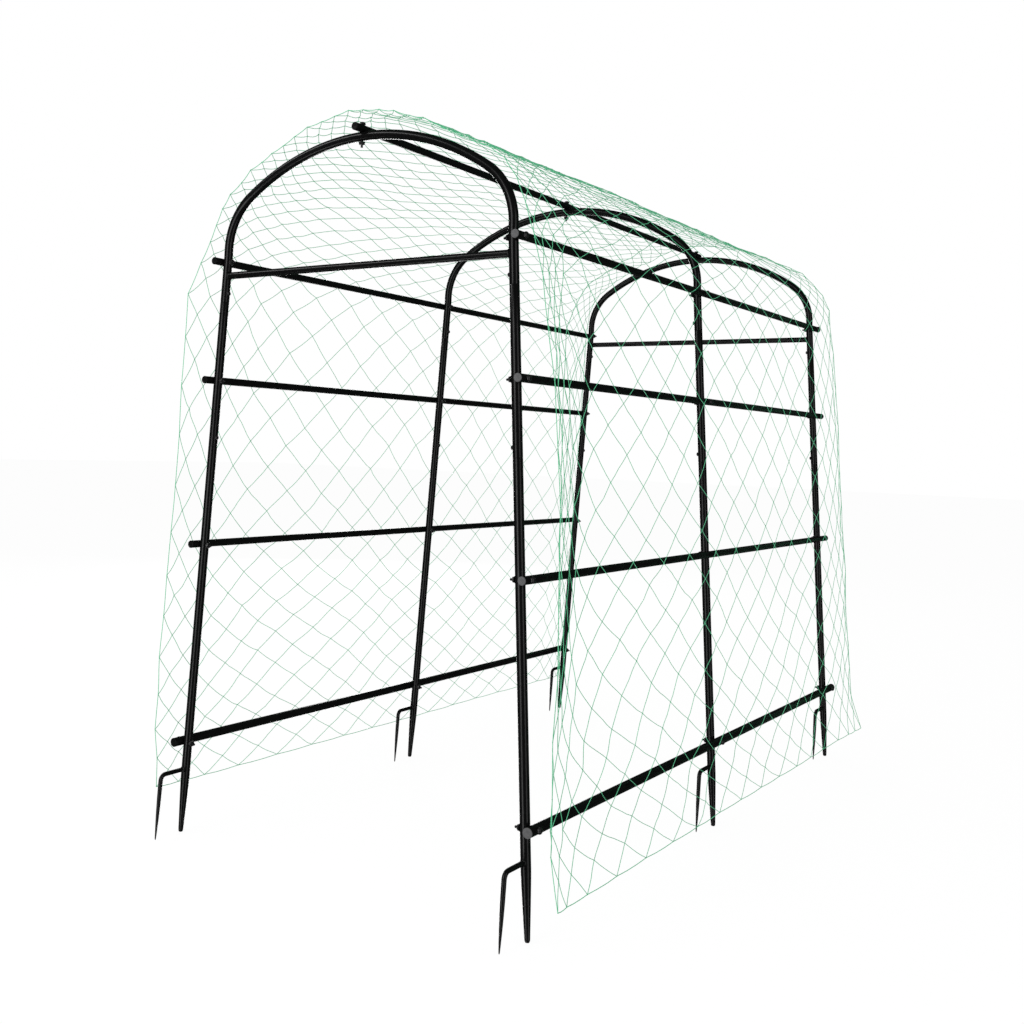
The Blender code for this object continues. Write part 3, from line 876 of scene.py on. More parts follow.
@dataclass(frozen=True)
class TwistedCord:
    """Twisted synthetic cord: plies wind round it, its dye is uneven, and painted shade darkens the
    grooves between the plies.
    """

    name: str
    light: Triple
    dark: Triple
    plies: float = 3.0
    lay: float = 0.009
    ply_depth: float = 0.0003
    # share of the dark dye that is painted into the ply grooves as shade
    groove_painted_shade: float = 0.7
    fibre: float = 0.0006
    dye_patch: float = 0.15
    roughness: Pair = (0.45, 0.7)
    specular: float = 0.35

    def material(self, effects: SurfaceEffects) -> bpy.types.Material:
        """Builds the material.

        Args:
            effects: The shared shader groups.

        Returns:
            The material.
        """
        shade = MaterialTree(self.name, self.specular)
        along, around = (
            shade.node("ShaderNodeAttribute", attribute_name=name).outputs["Fac"]
            for name in ("along", "around")
        )
        wound = shade.maths("MULTIPLY", around, self.plies)
        run = shade.maths("MULTIPLY", along, self.plies / self.lay)
        ply = shade.maths("PINGPONG", shade.maths("ADD", wound, run), 0.5)
        links = {"Value": ply, "From Max": 0.5}
        relief = shade.result("ShaderNodeMapRange", links, interpolation_type="SMOOTHSTEP")
        pebble = shade.group(effects.pebble, Grain_Size=self.fibre, Patch_Size=self.dye_patch)
        dyed = shade.blend(pebble["Patches"], self.dark, self.light)
        # painted shade: the grooves between the plies take a darker copy of the dye, in place of
        # the shade that falls in them
        shadow = tuple(channel * self.groove_painted_shade for channel in self.dark)
        rough = shade.scaled(pebble["Height"], *self.roughness)
        shade.dress(shade.blend(relief, shadow, dyed), rough, relief, self.ply_depth)
        return shade.material


@dataclass(frozen=True)
class PaleFloor:
    """Pale studio floor, lit from below as a light table is. In the tubes' own reflections it is
    a dark polished sheet, so that they stay black and the strips' streaks run down to their feet.
    """

    colour: Triple = (0.90, 0.90, 0.90)
    specular: float = 0.1
    roughness: Pair = (0.85, 0.95)
    glow: float = 0.93
    polish: float = 0.08

    def material(self) -> bpy.types.Material:
        """Builds the material.

        Returns:
            The material.
        """
        shade = MaterialTree("pale_floor", self.specular)
        inputs = shade.shader.inputs
        shade.feed(inputs["Base Color"], self.colour)
        cloud = shade.grain(scale=1.5, detail=3.0)
        shade.feed(inputs["Roughness"], shade.scaled(cloud, *self.roughness))
        light = shade.result("ShaderNodeEmission", {"Color": (1.0, 1.0, 1.0)})
        sheet = {"Color": (0.9, 0.9, 0.9), "Roughness": self.polish}
        mirror = shade.result("ShaderNodeBsdfGlossy", sheet)
        lit = self.mixed(shade, self.glow, shade.shader.outputs["BSDF"], light)
        path = shade.node("ShaderNodeLightPath").outputs["Is Glossy Ray"]
        both = self.mixed(shade, path, lit, mirror)
        shade.feed(shade.tree.nodes["Material Output"].inputs["Surface"], both)
        return shade.material

    @staticmethod
    def mixed(tree: ShaderTree, share: object, first: object, last: object) -> bpy.types.NodeSocket:
        """Mixes two shaders in a tree by the share of the last."""
        links = {"Fac": share, "Shader": first, "Shader_001": last}
        return tree.result("ShaderNodeMixShader", links)


@dataclass(frozen=True)
class Finishes:
    """The materials of the object's pieces."""

    tube: bpy.types.Material
    bolt: bpy.types.Material
    # the same caps as black_cap, made grey as a painted reflection on their flat faces
    grey_cap: bpy.types.Material
    black_cap: bpy.types.Material
    net: bpy.types.Material

    @classmethod
    def build(cls) -> "Finishes":
        """Builds the materials.

        Returns:
            The finishes.
        """
        effects = SurfaceEffects()
        looks = {
            "tube": CoatedMetal(
                "black_powder_coat", colour=(0.0022, 0.0022, 0.0023),
                dust_colour=(0.010, 0.0098, 0.0092), roughness=(0.20, 0.30), specular=0.16,
                grain_size=0.0016, grain_depth=0.00001, dust=0.25,
            ),
            "bolt": CoatedMetal(
                "black_zinc_plate", colour=(0.006, 0.006, 0.0065),
                dust_colour=(0.025, 0.024, 0.022), roughness=(0.26, 0.4), specular=0.3,
                grain_size=0.0009, grain_depth=0.00003, dust=0.3,
            ),
            # painted reflection: the right rails' caps are the same moulded caps as on the left,
            # given a grey colour in place of the reflection on their flat faces
            "grey_cap": MouldedPlastic(
                "grey_end_cap", colour=(0.072, 0.072, 0.074), roughness=(0.45, 0.6), specular=0.25
            ),
            "black_cap": MouldedPlastic(
                "black_end_cap", colour=(0.003, 0.003, 0.0031), roughness=(0.4, 0.55), specular=0.06
            ),
            "net": TwistedCord(
                "green_net_cord", light=(0.12, 0.61, 0.31), dark=(0.095, 0.51, 0.26)
            ),
        }
        return cls(**{key: look.material(effects) for key, look in looks.items()})


# The object


@dataclass
class Hoop:
    """One hoop: its arch, its two-part legs with feet and prongs, and its crossbar.

    Profiles are (height, radius) pairs. That of the bead is (distance from its seat, share of
    the bead's width outside the bar).
    """

    place: HoopPlace
    line: HoopLine
    sides: int = 40
    rim: float = 0.0006
    bend_step: float = math.radians(2.5)
    knee_trim: float = 0.004
    spigot_length: float = 0.050
    spigot_clearance: float = 0.0004
    socket_depth: float = 0.060
    neck: float = 0.003
    foot_profile: tuple[Pair, ...] = (
        (0.0, 0.0046), (0.0004, 0.0052), (0.0012, 0.00575), (0.004, 0.0066), (0.010, 0.0071),
        (0.022, 0.0075), (0.045, 0.0084), (0.075, 0.0096), (0.110, 0.0109), (0.140, 0.0119),
        (0.158, 0.0124), (0.168, 0.0125),
    )
    prong_reach: float = 0.092
    prong_lean: float = 0.012
    prong_rise: float = 0.183
    prong_root: float = 0.006
    prong_radius: float = 0.00625
    prong_fullness: float = 2.0
    prong_tip_radius: float = 0.0016
    prong_tip_blunting: float = 0.45
    prong_tip_lift: float = 0.004
    prong_bend: float = 0.017
    prong_bend_steps: int = 12
    prong_stops: tuple[float, ...] = (0.3, 0.5, 0.7, 0.85, 0.95, 0.985, 1.0)
    prong_sides: int = 24
    prong_weld_depth: float = 0.0004
    crossbar: float = 0.020
    crossbar_sides: int = 32
    crossbar_depth: float = 0.0008
    crossbar_weld_depth: float = 0.0006
    bead: float = 0.0022
    bead_profile: tuple[Pair, ...] = (
        (-0.0035, 0.3), (-0.0025, 1.1), (-0.0008, 1.25), (0.0006, 1.1), (0.0018, 0.62),
        (0.0026, 0.05),
    )

    def centre(self, point: Vector) -> Vector:
        """Moves a point of the hoop's plane to where the hoop stands."""
        return point + AXIS_Y * self.line.hoop_y(self.place)

    def leg_centre(self, side: Side, height: float) -> Vector:
        """The point of a leg's centre line at a height, where the hoop stands."""
        return self.centre(self.line.leg_point(side, height))

    def leg_rings(self, side: Side, profile: Iterable[Pair]) -> list[Ring]:
        """Rings round a leg, one for each (height, radius)."""
        out = self.line.leg_outward(side)
        return [Ring(self.leg_centre(side, height), out, AXIS_Y, size) for height, size in profile]

    def spigot(self, joint: float) -> list[Pair]:
        """Profile of a narrowed end above a joint, from the tube's full width to its bore.

        Args:
            joint: The joint's height.

        Returns:
            The profile.
        """
        outer, rim = self.line.radius, self.rim
        narrow = outer - self.line.wall - self.spigot_clearance
        bore = narrow - self.line.wall
        foot = joint - self.line.seat_gap
        top = joint + self.spigot_length
        return [
            (foot - rim, outer), (foot - rim / 3, outer - rim / 3), (foot, outer - rim),
            (foot, narrow), (top - rim, narrow), (top, narrow - rim / 2), (top, bore),
            (foot - self.neck, bore),
        ]

    def socket(self, joint: float) -> list[Pair]:
        """Profile of an open end above a joint, from inside its bore to the tube's full width.

        Args:
            joint: The joint's height.

        Returns:
            The profile.
        """
        outer, rim = self.line.radius, self.rim
        bore = outer - self.line.wall
        return [
            (joint + self.socket_depth, bore), (joint, bore), (joint, outer - rim),
            (joint + rim / 3, outer - rim / 3), (joint + rim, outer),
        ]

    def upper_leg(self, side: Side) -> Piece:
        """The straight leg section between the two joints.

        Args:
            side: The leg's side.

        Returns:
            The piece.
        """
        profile = self.socket(self.line.lower_joint) + self.spigot(self.line.upper_joint)
        piece = Piece(f"{self.place.value}_{side.value}_upper_leg_tube")
        return piece.skin(self.leg_rings(side, profile), self.sides)

    def lower_leg(self, side: Side) -> Piece:
        """The ground section with its drawn-down foot, its welded prong and the weld.

        Args:
            side: The leg's side.

        Returns:
            The piece.
        """
        rings = self.leg_rings(side, [*self.foot_profile, *self.spigot(self.line.lower_joint)])
        rings[0].across = AXIS_X * side.sign
        piece = Piece(f"{self.place.value}_{side.value}_lower_leg_tube").skin(rings, self.sides)
        piece.skin(self.prong_rings(side), self.prong_sides)
        seat = self.leg_centre(side, self.prong_rise)
        seat -= AXIS_Y * (self.line.radius - self.prong_weld_depth)
        weld = self.bead_rings(seat, -AXIS_Y, AXIS_Z, self.prong_radius)
        return piece.skin(weld, self.prong_sides)

    def prong_rings(self, side: Side) -> list[Ring]:
        """Rings of the step-in prong, from inside the leg to its point.

        Args:
            side: The leg's side.

        Returns:
            The rings.
        """
        root = self.leg_centre(side, self.prong_rise)
        forward = -AXIS_Y
        down = Vector((0.0, -self.prong_lean, self.prong_tip_lift - self.prong_rise)).normalized()
        corner = root + forward * self.prong_reach
        turn = math.acos(forward.dot(down))
        setback = self.prong_bend * math.tan(turn / 2)
        start = corner - forward * setback
        centre = start + (down - forward * forward.dot(down)).normalized() * self.prong_bend
        begin = root + forward * (self.line.radius - self.prong_root)
        thick = self.prong_radius
        stations = [(begin.lerp(start, share), forward, thick) for share in (0.0, 0.5, 1.0)]
        for step in range(1, self.prong_bend_steps + 1):
            swing = Matrix.Rotation(turn * step / self.prong_bend_steps, 3, "X")
            stations.append((centre + swing @ (start - centre), swing @ forward, thick))
        begin = corner + down * setback
        tip = corner + down * ((corner.z - self.prong_tip_lift) / -down.z)
        for share in self.prong_stops:
            radius = thick + (self.prong_tip_radius - thick) * share**self.prong_fullness
            if share == 1.0:
                radius *= self.prong_tip_blunting
            stations.append((begin.lerp(tip, share), down, radius))
        return [Ring(at, AXIS_X.cross(heading), AXIS_X, size) for at, heading, size in stations]

    def bead_rings(self, seat: Vector, outward: Vector, along: Vector, radius: float) -> list[Ring]:
        """Rings of a weld bead round a bar where it meets a tube.

        Args:
            seat: Where the bar's axis meets the tube's side.
            outward: The bar's direction.
            along: The tube's direction.
            radius: The bar's radius.

        Returns:
            The rings.
        """
        across = along.cross(outward)
        return [
            Ring(seat + outward * at, across, along, radius + self.bead * out)
            for at, out in self.bead_profile
        ]

    def arch(self) -> Piece:
        """The bent top section.

        Returns:
            The piece.
        """
        line = self.line
        profile = [*self.socket(line.upper_joint), (line.knee.z - self.knee_trim, line.radius)]
        bend = line.arch_points(self.bend_step)
        inner = [(after - before).normalized() for before, after in zip(bend, bend[2:])]
        rings = self.leg_rings(Side.RIGHT, profile)
        for point, heading in zip(bend, [AXIS_Z, *inner, -AXIS_Z]):
            rings.append(Ring(self.centre(point), AXIS_Y.cross(heading), AXIS_Y, line.radius))
        rings += self.leg_rings(Side.LEFT, profile[::-1])
        return Piece(f"{self.place.value}_arch_tube").skin(rings, self.sides)

    def crossbar_piece(self) -> Piece:
        """The bar between the legs, with a small weld at each end.

        Returns:
            The piece.
        """
        line, sides, radius = self.line, self.crossbar_sides, self.crossbar / 2
        height = line.crossbar_height
        end = line.leg_point(Side.RIGHT, height).x - line.radius + self.crossbar_depth
        stops = [self.centre(Vector((x, 0.0, height))) for x in (end, 0.0, -end)]
        piece = Piece(f"{self.place.value}_crossbar_tube")
        piece.skin([Ring(stop, AXIS_Z, AXIS_Y, radius) for stop in stops], sides)
        for side in Side:
            inward = -AXIS_X * side.sign
            seat = self.leg_centre(side, height) + inward * (line.radius - self.crossbar_weld_depth)
            piece.skin(self.bead_rings(seat, inward, line.leg_axis(side), radius), sides)
        return piece

    def build(self, finishes: Finishes) -> None:
        """Builds, dresses and places the hoop's pieces.

        Args:
            finishes: The materials.
        """
        pieces = [self.arch()]
        for side in Side:
            pieces += [self.upper_leg(side), self.lower_leg(side)]
        if self.place is not HoopPlace.MIDDLE:
            pieces.append(self.crossbar_piece())
        for piece in pieces:
            settle(piece.build(finishes.tube), [piece.name.removesuffix("_tube")])


@dataclass
class RailSet:
    """The nine rails and the caps in their ends.

    The cap's rim is (height, distance outside its edge) pairs, its dimple (height, radius) pairs.
    """

    line: HoopLine
    overhang: float = 0.030
    rim: float = 0.0006
    sides: int = 40
    cap_lip: float = 0.0003
    cap_rim: tuple[Pair, ...] = (
        (0.0001, -0.0004), (0.0004, 0.0), (0.0020, 0.0), (0.0028, -0.0004), (0.0033, -0.0013),
        (0.0035, -0.003),
    )
    cap_dimple: tuple[Pair, ...] = ((0.0035, 0.0060), (0.0033, 0.0055), (0.0033, 0.0001))

    @property
    def half_length(self) -> float:
        """Half the length of a rail."""
        return self.line.hoop_spacing + self.overhang

    def rail_line(self, name: str, centre: Vector, radius: float) -> bpy.types.Mesh:
        """The line that a rail follows, with its radius.

        Args:
            name: Name of the mesh.
            centre: The rail's centre, at Y = 0.
            radius: The rail's radius.

        Returns:
            The line as a mesh of edges.
        """
        end, rim = self.half_length, self.rim
        stops = [(-end, radius - rim), (-end + rim / 3, radius - rim / 3), (-end + rim, radius)]
        stops += [(0.0, radius)] + [(-y, size) for y, size in stops[::-1]]
        points = [Vector((centre.x, y, centre.z)) for y, _ in stops]
        edges = [(index, index + 1) for index in range(len(points) - 1)]
        return marked_mesh(name, points, edges, ("radius", "FLOAT"), [size for _, size in stops])

    def cap(self, name: str, radius: float) -> bpy.types.Object:
        """One cap: a crowned disc with a rounded edge. Local +Z points out of the tube.

        Args:
            name: Its name.
            radius: The rail's radius.

        Returns:
            The model that is set in each end.
        """
        edge = radius + self.cap_lip
        profile = [(height, edge + outside) for height, outside in self.cap_rim]
        return Piece(name).skin(upright_rings([*profile, *self.cap_dimple]), self.sides).build()

    def build(self, finishes: Finishes, sweep: GeometryTree, scatter: GeometryTree) -> None:
        """Builds, dresses and places the rails and their caps.

        Args:
            finishes: The materials.
            sweep: The tree for bars.
            scatter: The tree that sets parts on points.
        """
        ends: dict[tuple[str, float], list[Vector]] = {}
        for name, (point, outward) in self.line.crossings().items():
            diameter = self.line.rail_diameter(name)
            centre = point + outward * self.line.rail_offset(diameter)
            source = self.rail_line(f"{name}_rail_line", centre, diameter / 2)
            values = {"Sides": self.sides, "Material": finishes.tube}
            rail = sweep.run(f"{name}_rail_tube", source, values)
            face_outwards(rail.data)
            settle(rail, [f"{name}_rail"])
            # painted reflection: the caps of the right rails are grey, those of the left rails and
            # the ridge black
            shade = "grey" if name.startswith(Side.RIGHT.value) else "black"
            for end in (-1, 1):
                point = centre + AXIS_Y * self.half_length * end
                ends.setdefault((shade, diameter), []).append(point)
        for (shade, diameter), points in ends.items():
            self.set_caps(shade, diameter, points, finishes, scatter)

    def set_caps(
        self, shade: str, diameter: float, points: Sequence[Vector], finishes: Finishes,
        scatter: GeometryTree,
    ) -> None:
        """Sets the caps of one colour and size.

        Args:
            shade: Their colour: black, or grey as a painted reflection on the caps of the right
                rails.
            diameter: The rail's tube.
            points: The ends of the rails.
            finishes: The materials.
            scatter: The tree that sets parts on points.
        """
        turns = [Vector((-math.copysign(math.pi / 2, point.y), 0.0, 0.0)) for point in points]
        bottom = "bottom_" if diameter == self.line.bottom_rail_tube else ""
        stem = f"{shade}_{bottom}rail_end"
        model = self.cap(f"{stem}_cap_model", diameter / 2)
        values = {"Part": model, "Material": getattr(finishes, f"{shade}_cap")}
        source = turned_points(f"{stem}_points", points, turns)
        settle(scatter.run(f"{stem}_caps", source, values))
        discard(model)


@dataclass
class Hardware:
    """Bolts with domed heads and nuts at the crossings, and screws at the leg joints.

    A recess is its width and depth. The flange is (height, distance outside its edge) pairs.
    """

    line: HoopLine
    shank: float = 0.006
    shank_sides: int = 28
    chamfer: float = 0.0007
    head: float = 0.017
    head_height: float = 0.007
    head_fullness: float = 0.66
    head_rim: float = 0.0003
    head_steps: int = 8
    head_pole: float = 0.0002
    recess: Pair = (0.0062, 0.0016)
    recess_bar: float = 0.22
    recess_taper: float = 0.7
    nut_flats: float = 0.0138
    nut_height: float = 0.0075
    nut_sides: int = 24
    nut_chamfer: float = 0.0016
    flange: float = 0.0185
    flange_profile: tuple[Pair, ...] = ((0.0, -0.0002), (0.0003, 0.0), (0.0010, -0.0002))
    end_length: float = 0.0075
    thread_pitch: float = 0.001
    thread_crest: float = 0.00018
    thread_root: float = -0.0002
    thread_tip: float = 0.0004
    thread_taper: float = 0.0005
    thread_start: float = 0.0008
    thread_margin: float = 0.0006
    thread_sides: int = 20
    screw_rise: float = 0.025
    screw_head: float = 0.012
    screw_height: float = 0.0050
    screw_seat: float = 0.0012
    screw_recess: Pair = (0.005, 0.0012)

    def dome(self, radius: float, height: float, seat: float) -> list[Pair]:
        """Profile of a domed head, from its seat to its top.

        Args:
            radius: The head's radius.
            height: The head's height.
            seat: Height of its seat.

        Returns:
            (height, radius) pairs.
        """
        rim = self.head_rim
        profile = [(seat, radius - rim), (seat + rim, radius)]
        for step in range(1, self.head_steps + 1):
            turn = math.pi / 2 * step / self.head_steps
            rise = (height - 2 * rim) * math.sin(turn) ** self.head_fullness
            size = radius * math.cos(turn) ** self.head_fullness
            profile.append((seat + 2 * rim + rise, max(size, self.head_pole)))
        return profile

    def cross(self, top: float, width: float, depth: float) -> bpy.types.Object:
        """A cross whose arms narrow downwards, to cut a recess with.

        Args:
            top: Height of the head's top.
            width: Width across the cross.
            depth: Depth of the recess.

        Returns:
            The cross.
        """
        mesh = bpy.data.meshes.new("cross_recess")
        work = bmesh.new()
        for spin in (0.0, math.pi / 2):
            box = bmesh.ops.create_cube(work, size=1.0)["verts"]
            scale = Matrix.Diagonal((width, width * self.recess_bar, depth * 2, 1.0))
            bmesh.ops.transform(work, matrix=Matrix.Rotation(spin, 4, "Z") @ scale, verts=box)
            for vertex in box:
                if vertex.co.z < 0:
                    vertex.co.xy *= self.recess_taper
        bmesh.ops.translate(work, vec=AXIS_Z * top, verts=work.verts)
        work.to_mesh(mesh)
        work.free()
        return new_object("cross_recess", mesh)

    def recessed(self, obj: bpy.types.Object, top: float, size: Pair) -> bpy.types.Object:
        """Cuts a cross recess in a head.

        Args:
            obj: The model, head up.
            top: Height of the head's top.
            size: Width and depth of the recess.

        Returns:
            The model.
        """
        tool = self.cross(top, *size)
        cut = obj.modifiers.new("recess", "BOOLEAN")
        cut.operation = "DIFFERENCE"
        cut.solver = "EXACT"
        cut.use_self = True
        cut.object = tool
        obj.data = applied(obj, cut)
        discard(tool)
        shade_round(obj.data, FASTENER_EDGE)
        return obj

    def bolt_model(self, diameter: float) -> bpy.types.Object:
        """A bolt through rail and hoop, and its nut. Local +Z points out of the tunnel.

        Args:
            diameter: The rail's tube.

        Returns:
            The model, about the hoop's centre line.
        """
        seat = self.line.head_seat(diameter)
        low = -(self.line.radius + self.line.seat_gap)
        end = low - self.nut_height - self.end_length
        shank = self.shank / 2
        profile = [(end, shank - self.chamfer), (end + self.chamfer, shank), (seat, shank)]
        profile += self.dome(self.head / 2, self.head_height, seat)
        bolt = Piece("bolt_model").skin(upright_rings(profile), self.shank_sides).build()
        bolt = self.recessed(bolt, seat + self.head_height, self.recess)
        nut = Piece("nut_model").skin(self.nut_rings(low), self.nut_sides).build()
        thread = self.thread_profile(end, low - self.nut_height)
        turns = Piece("thread_model").skin(upright_rings(thread), self.thread_sides).build()
        joined = bmesh.new()
        for part in (bolt, nut, turns):
            joined.from_mesh(part.data)
        joined.to_mesh(bolt.data)
        joined.free()
        for part in (nut, turns):
            discard(part)
        shade_round(bolt.data, FASTENER_EDGE)
        return bolt

    def nut_rings(self, low: float) -> list[Ring]:
        """Rings of a hexagonal flange nut with turned corners.

        Args:
            low: Height of the face against the tube.

        Returns:
            The rings, for sides that are a multiple of six.
        """
        flats, flange, top = self.nut_flats / 2, self.flange / 2, self.nut_height
        shares = ((0.0017, 1.03), (0.0020, 1.0), (top - self.nut_chamfer, 1.0), (top, 0.82))
        rings = upright_rings((low - height, flange + out) for height, out in self.flange_profile)
        hexagon = ((low - height, flats * share) for height, share in shares)
        return rings + upright_rings(hexagon, HexRing)

    def thread_profile(self, end: float, start: float) -> list[Pair]:
        """Profile of the screw thread that stands out of the nut.

        Args:
            end: Height of the bolt's end.
            start: Height of the nut's outer face.

        Returns:
            (height, radius) pairs.
        """
        shank, half_pitch = self.shank / 2, self.thread_pitch / 2
        profile = [(end + self.thread_tip, shank - self.thread_taper)]
        for index in range(int((start - end - self.thread_margin) / half_pitch) + 1):
            depth = self.thread_crest if index % 2 else self.thread_root
            height = end + self.thread_start + index * self.thread_pitch / 2
            profile.append((height, shank + depth))
        return profile

    def screw_model(self) -> bpy.types.Object:
        """The domed head of a leg joint's screw. Local +Z points away from the tube.

        Returns:
            The model, with its seat at 0.
        """
        radius = self.screw_head / 2
        profile = [(-self.screw_seat, radius - self.head_rim)]
        profile += self.dome(radius, self.screw_height, 0.0)
        screw = Piece("screw_model").skin(upright_rings(profile), self.shank_sides).build()
        return self.recessed(screw, self.screw_height, self.screw_recess)

    def bolts(self, finishes: Finishes, scatter: GeometryTree) -> None:
        """Sets the bolts of each hoop.

        Args:
            finishes: The materials.
            scatter: The tree that sets parts on points.
        """
        line = self.line
        for stem, diameter in (("rail", line.rail_tube), ("bottom_rail", line.bottom_rail_tube)):
            model = self.bolt_model(diameter)
            seats = {k: v for k, v in line.crossings().items() if line.rail_diameter(k) == diameter}
            turns = [facing(outward) for _, outward in seats.values()]
            for place in HoopPlace:
                points = [point + AXIS_Y * line.hoop_y(place) for point, _ in seats.values()]
                source = turned_points(f"{place.value}_{stem}_bolt_points", points, turns)
                values = {"Part": model, "Material": finishes.bolt}
                bolts = scatter.run(f"{place.value}_hoop_{stem}_bolts", source, values)
                settle(bolts, [f"{place.value}_{rail}_bolt" for rail in seats])
            discard(model)

    def screws(self, finishes: Finishes, scatter: GeometryTree) -> None:
        """Sets the screws of the leg joints, on the inner side of the legs.

        Args:
            finishes: The materials.
            scatter: The tree that sets parts on points.
        """
        line, model = self.line, self.screw_model()
        points, turns = [], []
        for place in HoopPlace:
            for side in Side:
                inward = -line.leg_outward(side)
                for joint in (line.upper_joint, line.lower_joint):
                    point = line.leg_point(side, joint + self.screw_rise) + inward * line.radius
                    points.append(point + AXIS_Y * line.hoop_y(place))
                    turns.append(facing(inward))
        source = turned_points("joint_screw_points", points, turns)
        values = {"Part": model, "Material": finishes.bolt}
        settle(scatter.run("leg_joint_screws", source, values))
        discard(model)


@dataclass(frozen=True)
class Curve1D:
    """A smooth line through (place, value) marks, for sizes that change round the net."""

    marks: tuple[Pair, ...]

    def at(self, place: float) -> float:
        """The value at a place.

        Args:
            place: Where.

        Returns:
            The value, level past both ends.
        """
        if place <= self.marks[0][0]:
            return self.marks[0][1]
        for (low, start), (high, end) in zip(self.marks, self.marks[1:]):
            if place <= high:
                share = (place - low) / (high - low)
                return start + (end - start) * share * share * (3 - 2 * share)
        return self.marks[-1][1]


@dataclass
class PlantNet:
    """The plant net: knotted diamonds over the roof and both walls, and the cords in its edges.

    Places round it are distances from the ridge, less than 0 on the left. The first and last
    columns are drawn together along the edges, each by its own share of a full column's width.
    A knot has a half column and a half row, and drifts from its place by shares of them.
    """

    line: HoopLine
    columns: int = 17
    rows: int = 52
    cord: float = 0.0017
    edge_cord: float = 0.0020
    cord_sides: int = 5
    cord_pieces: int = 5
    edge_pieces: int = 4
    knot: float = 0.0033
    sag: float = 0.002
    wander: float = 0.012
    head_height: float = 0.007
    clearance: float = 0.0009
    ridge_lift: float = 0.016
    ridge_reach: float = 0.25
    roof_step: float = math.radians(3)
    wall_steps: int = 40
    row_samples: int = 600
    flare_drop: float = 0.02
    hems: dict[Side, float] = field(default_factory=lambda: {Side.LEFT: 0.125, Side.RIGHT: 0.085})
    flares: dict[Side, float] = field(default_factory=lambda: {Side.LEFT: 0.0, Side.RIGHT: 0.030})
    seed: int = 7
    drift_scale: Pair = (0.23, 0.13)
    drift_layer: float = 3.7
    drift_share: Pair = (0.36, 0.50)
    jitter_scale: Pair = (0.9, 0.8)
    jitter_layer: float = 9.1
    jitter_share: Pair = (0.12, 0.16)
    edge_drift: float = 0.010
    edge_reach: float = 0.10
    edge_lift: float = 0.010
    lift: Pair = (0.003, 0.007)
    least_lift: float = 0.001
    fold_place: float = 0.33
    fold_width: float = 0.30
    fold_reach: float = 0.12
    fold_depth: float = 0.024
    front: Curve1D = Curve1D((
        (-2.25, -1.150), (-2.05, -1.180), (-0.82, -1.188), (-0.72, -1.155), (-0.60, -1.118),
        (-0.45, -1.106), (0.0, -1.112), (0.45, -1.125), (0.62, -1.140), (0.68, -1.120),
        (0.74, -1.065), (0.86, -1.040), (0.97, -1.018), (1.15, -1.000), (1.60, -1.012),
        (1.75, -1.032), (2.00, -1.070), (2.16, -1.098), (2.30, -1.112),
    ))
    rear: Curve1D = Curve1D((
        (-2.25, 1.195), (-0.70, 1.165), (0.0, 1.145), (0.50, 1.165), (0.75, 1.215), (1.15, 1.245),
        (1.70, 1.262), (2.30, 1.268),
    ))
    density: Curve1D = Curve1D((
        (-2.25, 10.8), (-1.80, 9.4), (-1.30, 6.8), (-0.95, 7.2), (-0.80, 8.8), (-0.62, 20.0),
        (-0.35, 22.0), (0.0, 20.0), (0.35, 17.0), (0.62, 16.5), (0.80, 8.0), (0.95, 6.8),
        (1.30, 6.6), (1.80, 7.4), (2.30, 9.0),
    ))
    front_columns: tuple[Curve1D, ...] = (
        Curve1D((
            (-2.25, 0.50), (-0.90, 0.46), (-0.60, 0.42), (0.0, 0.25), (0.35, 0.34), (0.62, 0.42),
            (0.80, 0.16), (1.00, 0.12), (1.80, 0.12), (2.10, 0.22), (2.30, 0.30),
        )),
        Curve1D((
            (-2.25, 0.60), (-0.90, 0.54), (-0.60, 0.46), (0.0, 0.29), (0.35, 0.38), (0.62, 0.43),
            (0.80, 0.16), (1.00, 0.12), (1.80, 0.14), (2.10, 0.42), (2.30, 0.65),
        )),
        Curve1D((
            (-2.25, 0.85), (-0.60, 0.62), (0.0, 0.44), (0.62, 0.50), (0.80, 0.20), (1.00, 0.15),
            (1.80, 0.22), (2.10, 0.75), (2.30, 1.0),
        )),
        Curve1D((
            (-2.25, 1.0), (-0.60, 0.85), (0.0, 0.80), (0.62, 0.80), (1.00, 0.68), (1.80, 0.75),
            (2.30, 1.0),
        )),
    )
    rear_columns: tuple[Curve1D, ...] = (
        Curve1D((
            (-2.25, 0.50), (-0.60, 0.44), (0.0, 0.84), (0.55, 0.68), (0.90, 0.60), (2.00, 0.55),
            (2.30, 0.70),
        )),
        Curve1D((
            (-2.25, 0.40), (-0.60, 0.34), (0.0, 0.76), (0.55, 0.50), (0.90, 0.38), (2.00, 0.35),
            (2.30, 0.45),
        )),
        Curve1D((
            (-2.25, 0.34), (-0.60, 0.28), (0.0, 0.70), (0.55, 0.40), (0.90, 0.22), (2.00, 0.22),
            (2.30, 0.35),
        )),
    )

    def __post_init__(self) -> None:
        """Lays out the net's line across the tunnel and its rows along that line."""
        noise.seed_set(self.seed)
        self.section = self.section_line()
        self.lengths = [0.0]
        for before, after in zip(self.section, self.section[1:]):
            self.lengths.append(self.lengths[-1] + (after - before).length)
        self.ridge = min(zip(self.section, self.lengths), key=lambda pair: abs(pair[0].x))[1]
        count = self.row_samples
        places = [self.lengths[-1] * i / count for i in range(count + 1)]
        sums = [0.0]
        for before, after in zip(places, places[1:]):
            middle = (before + after) / 2 - self.ridge
            sums.append(sums[-1] + self.density.at(middle) * (after - before))
        self.row_places = [(total / sums[-1], place) for total, place in zip(sums, places)]

    def seat(self, diameter: float) -> float:
        """From the hoop's centre line to the net where it lies on the bolt heads of a rail."""
        return self.line.head_seat(diameter) + self.head_height + self.clearance

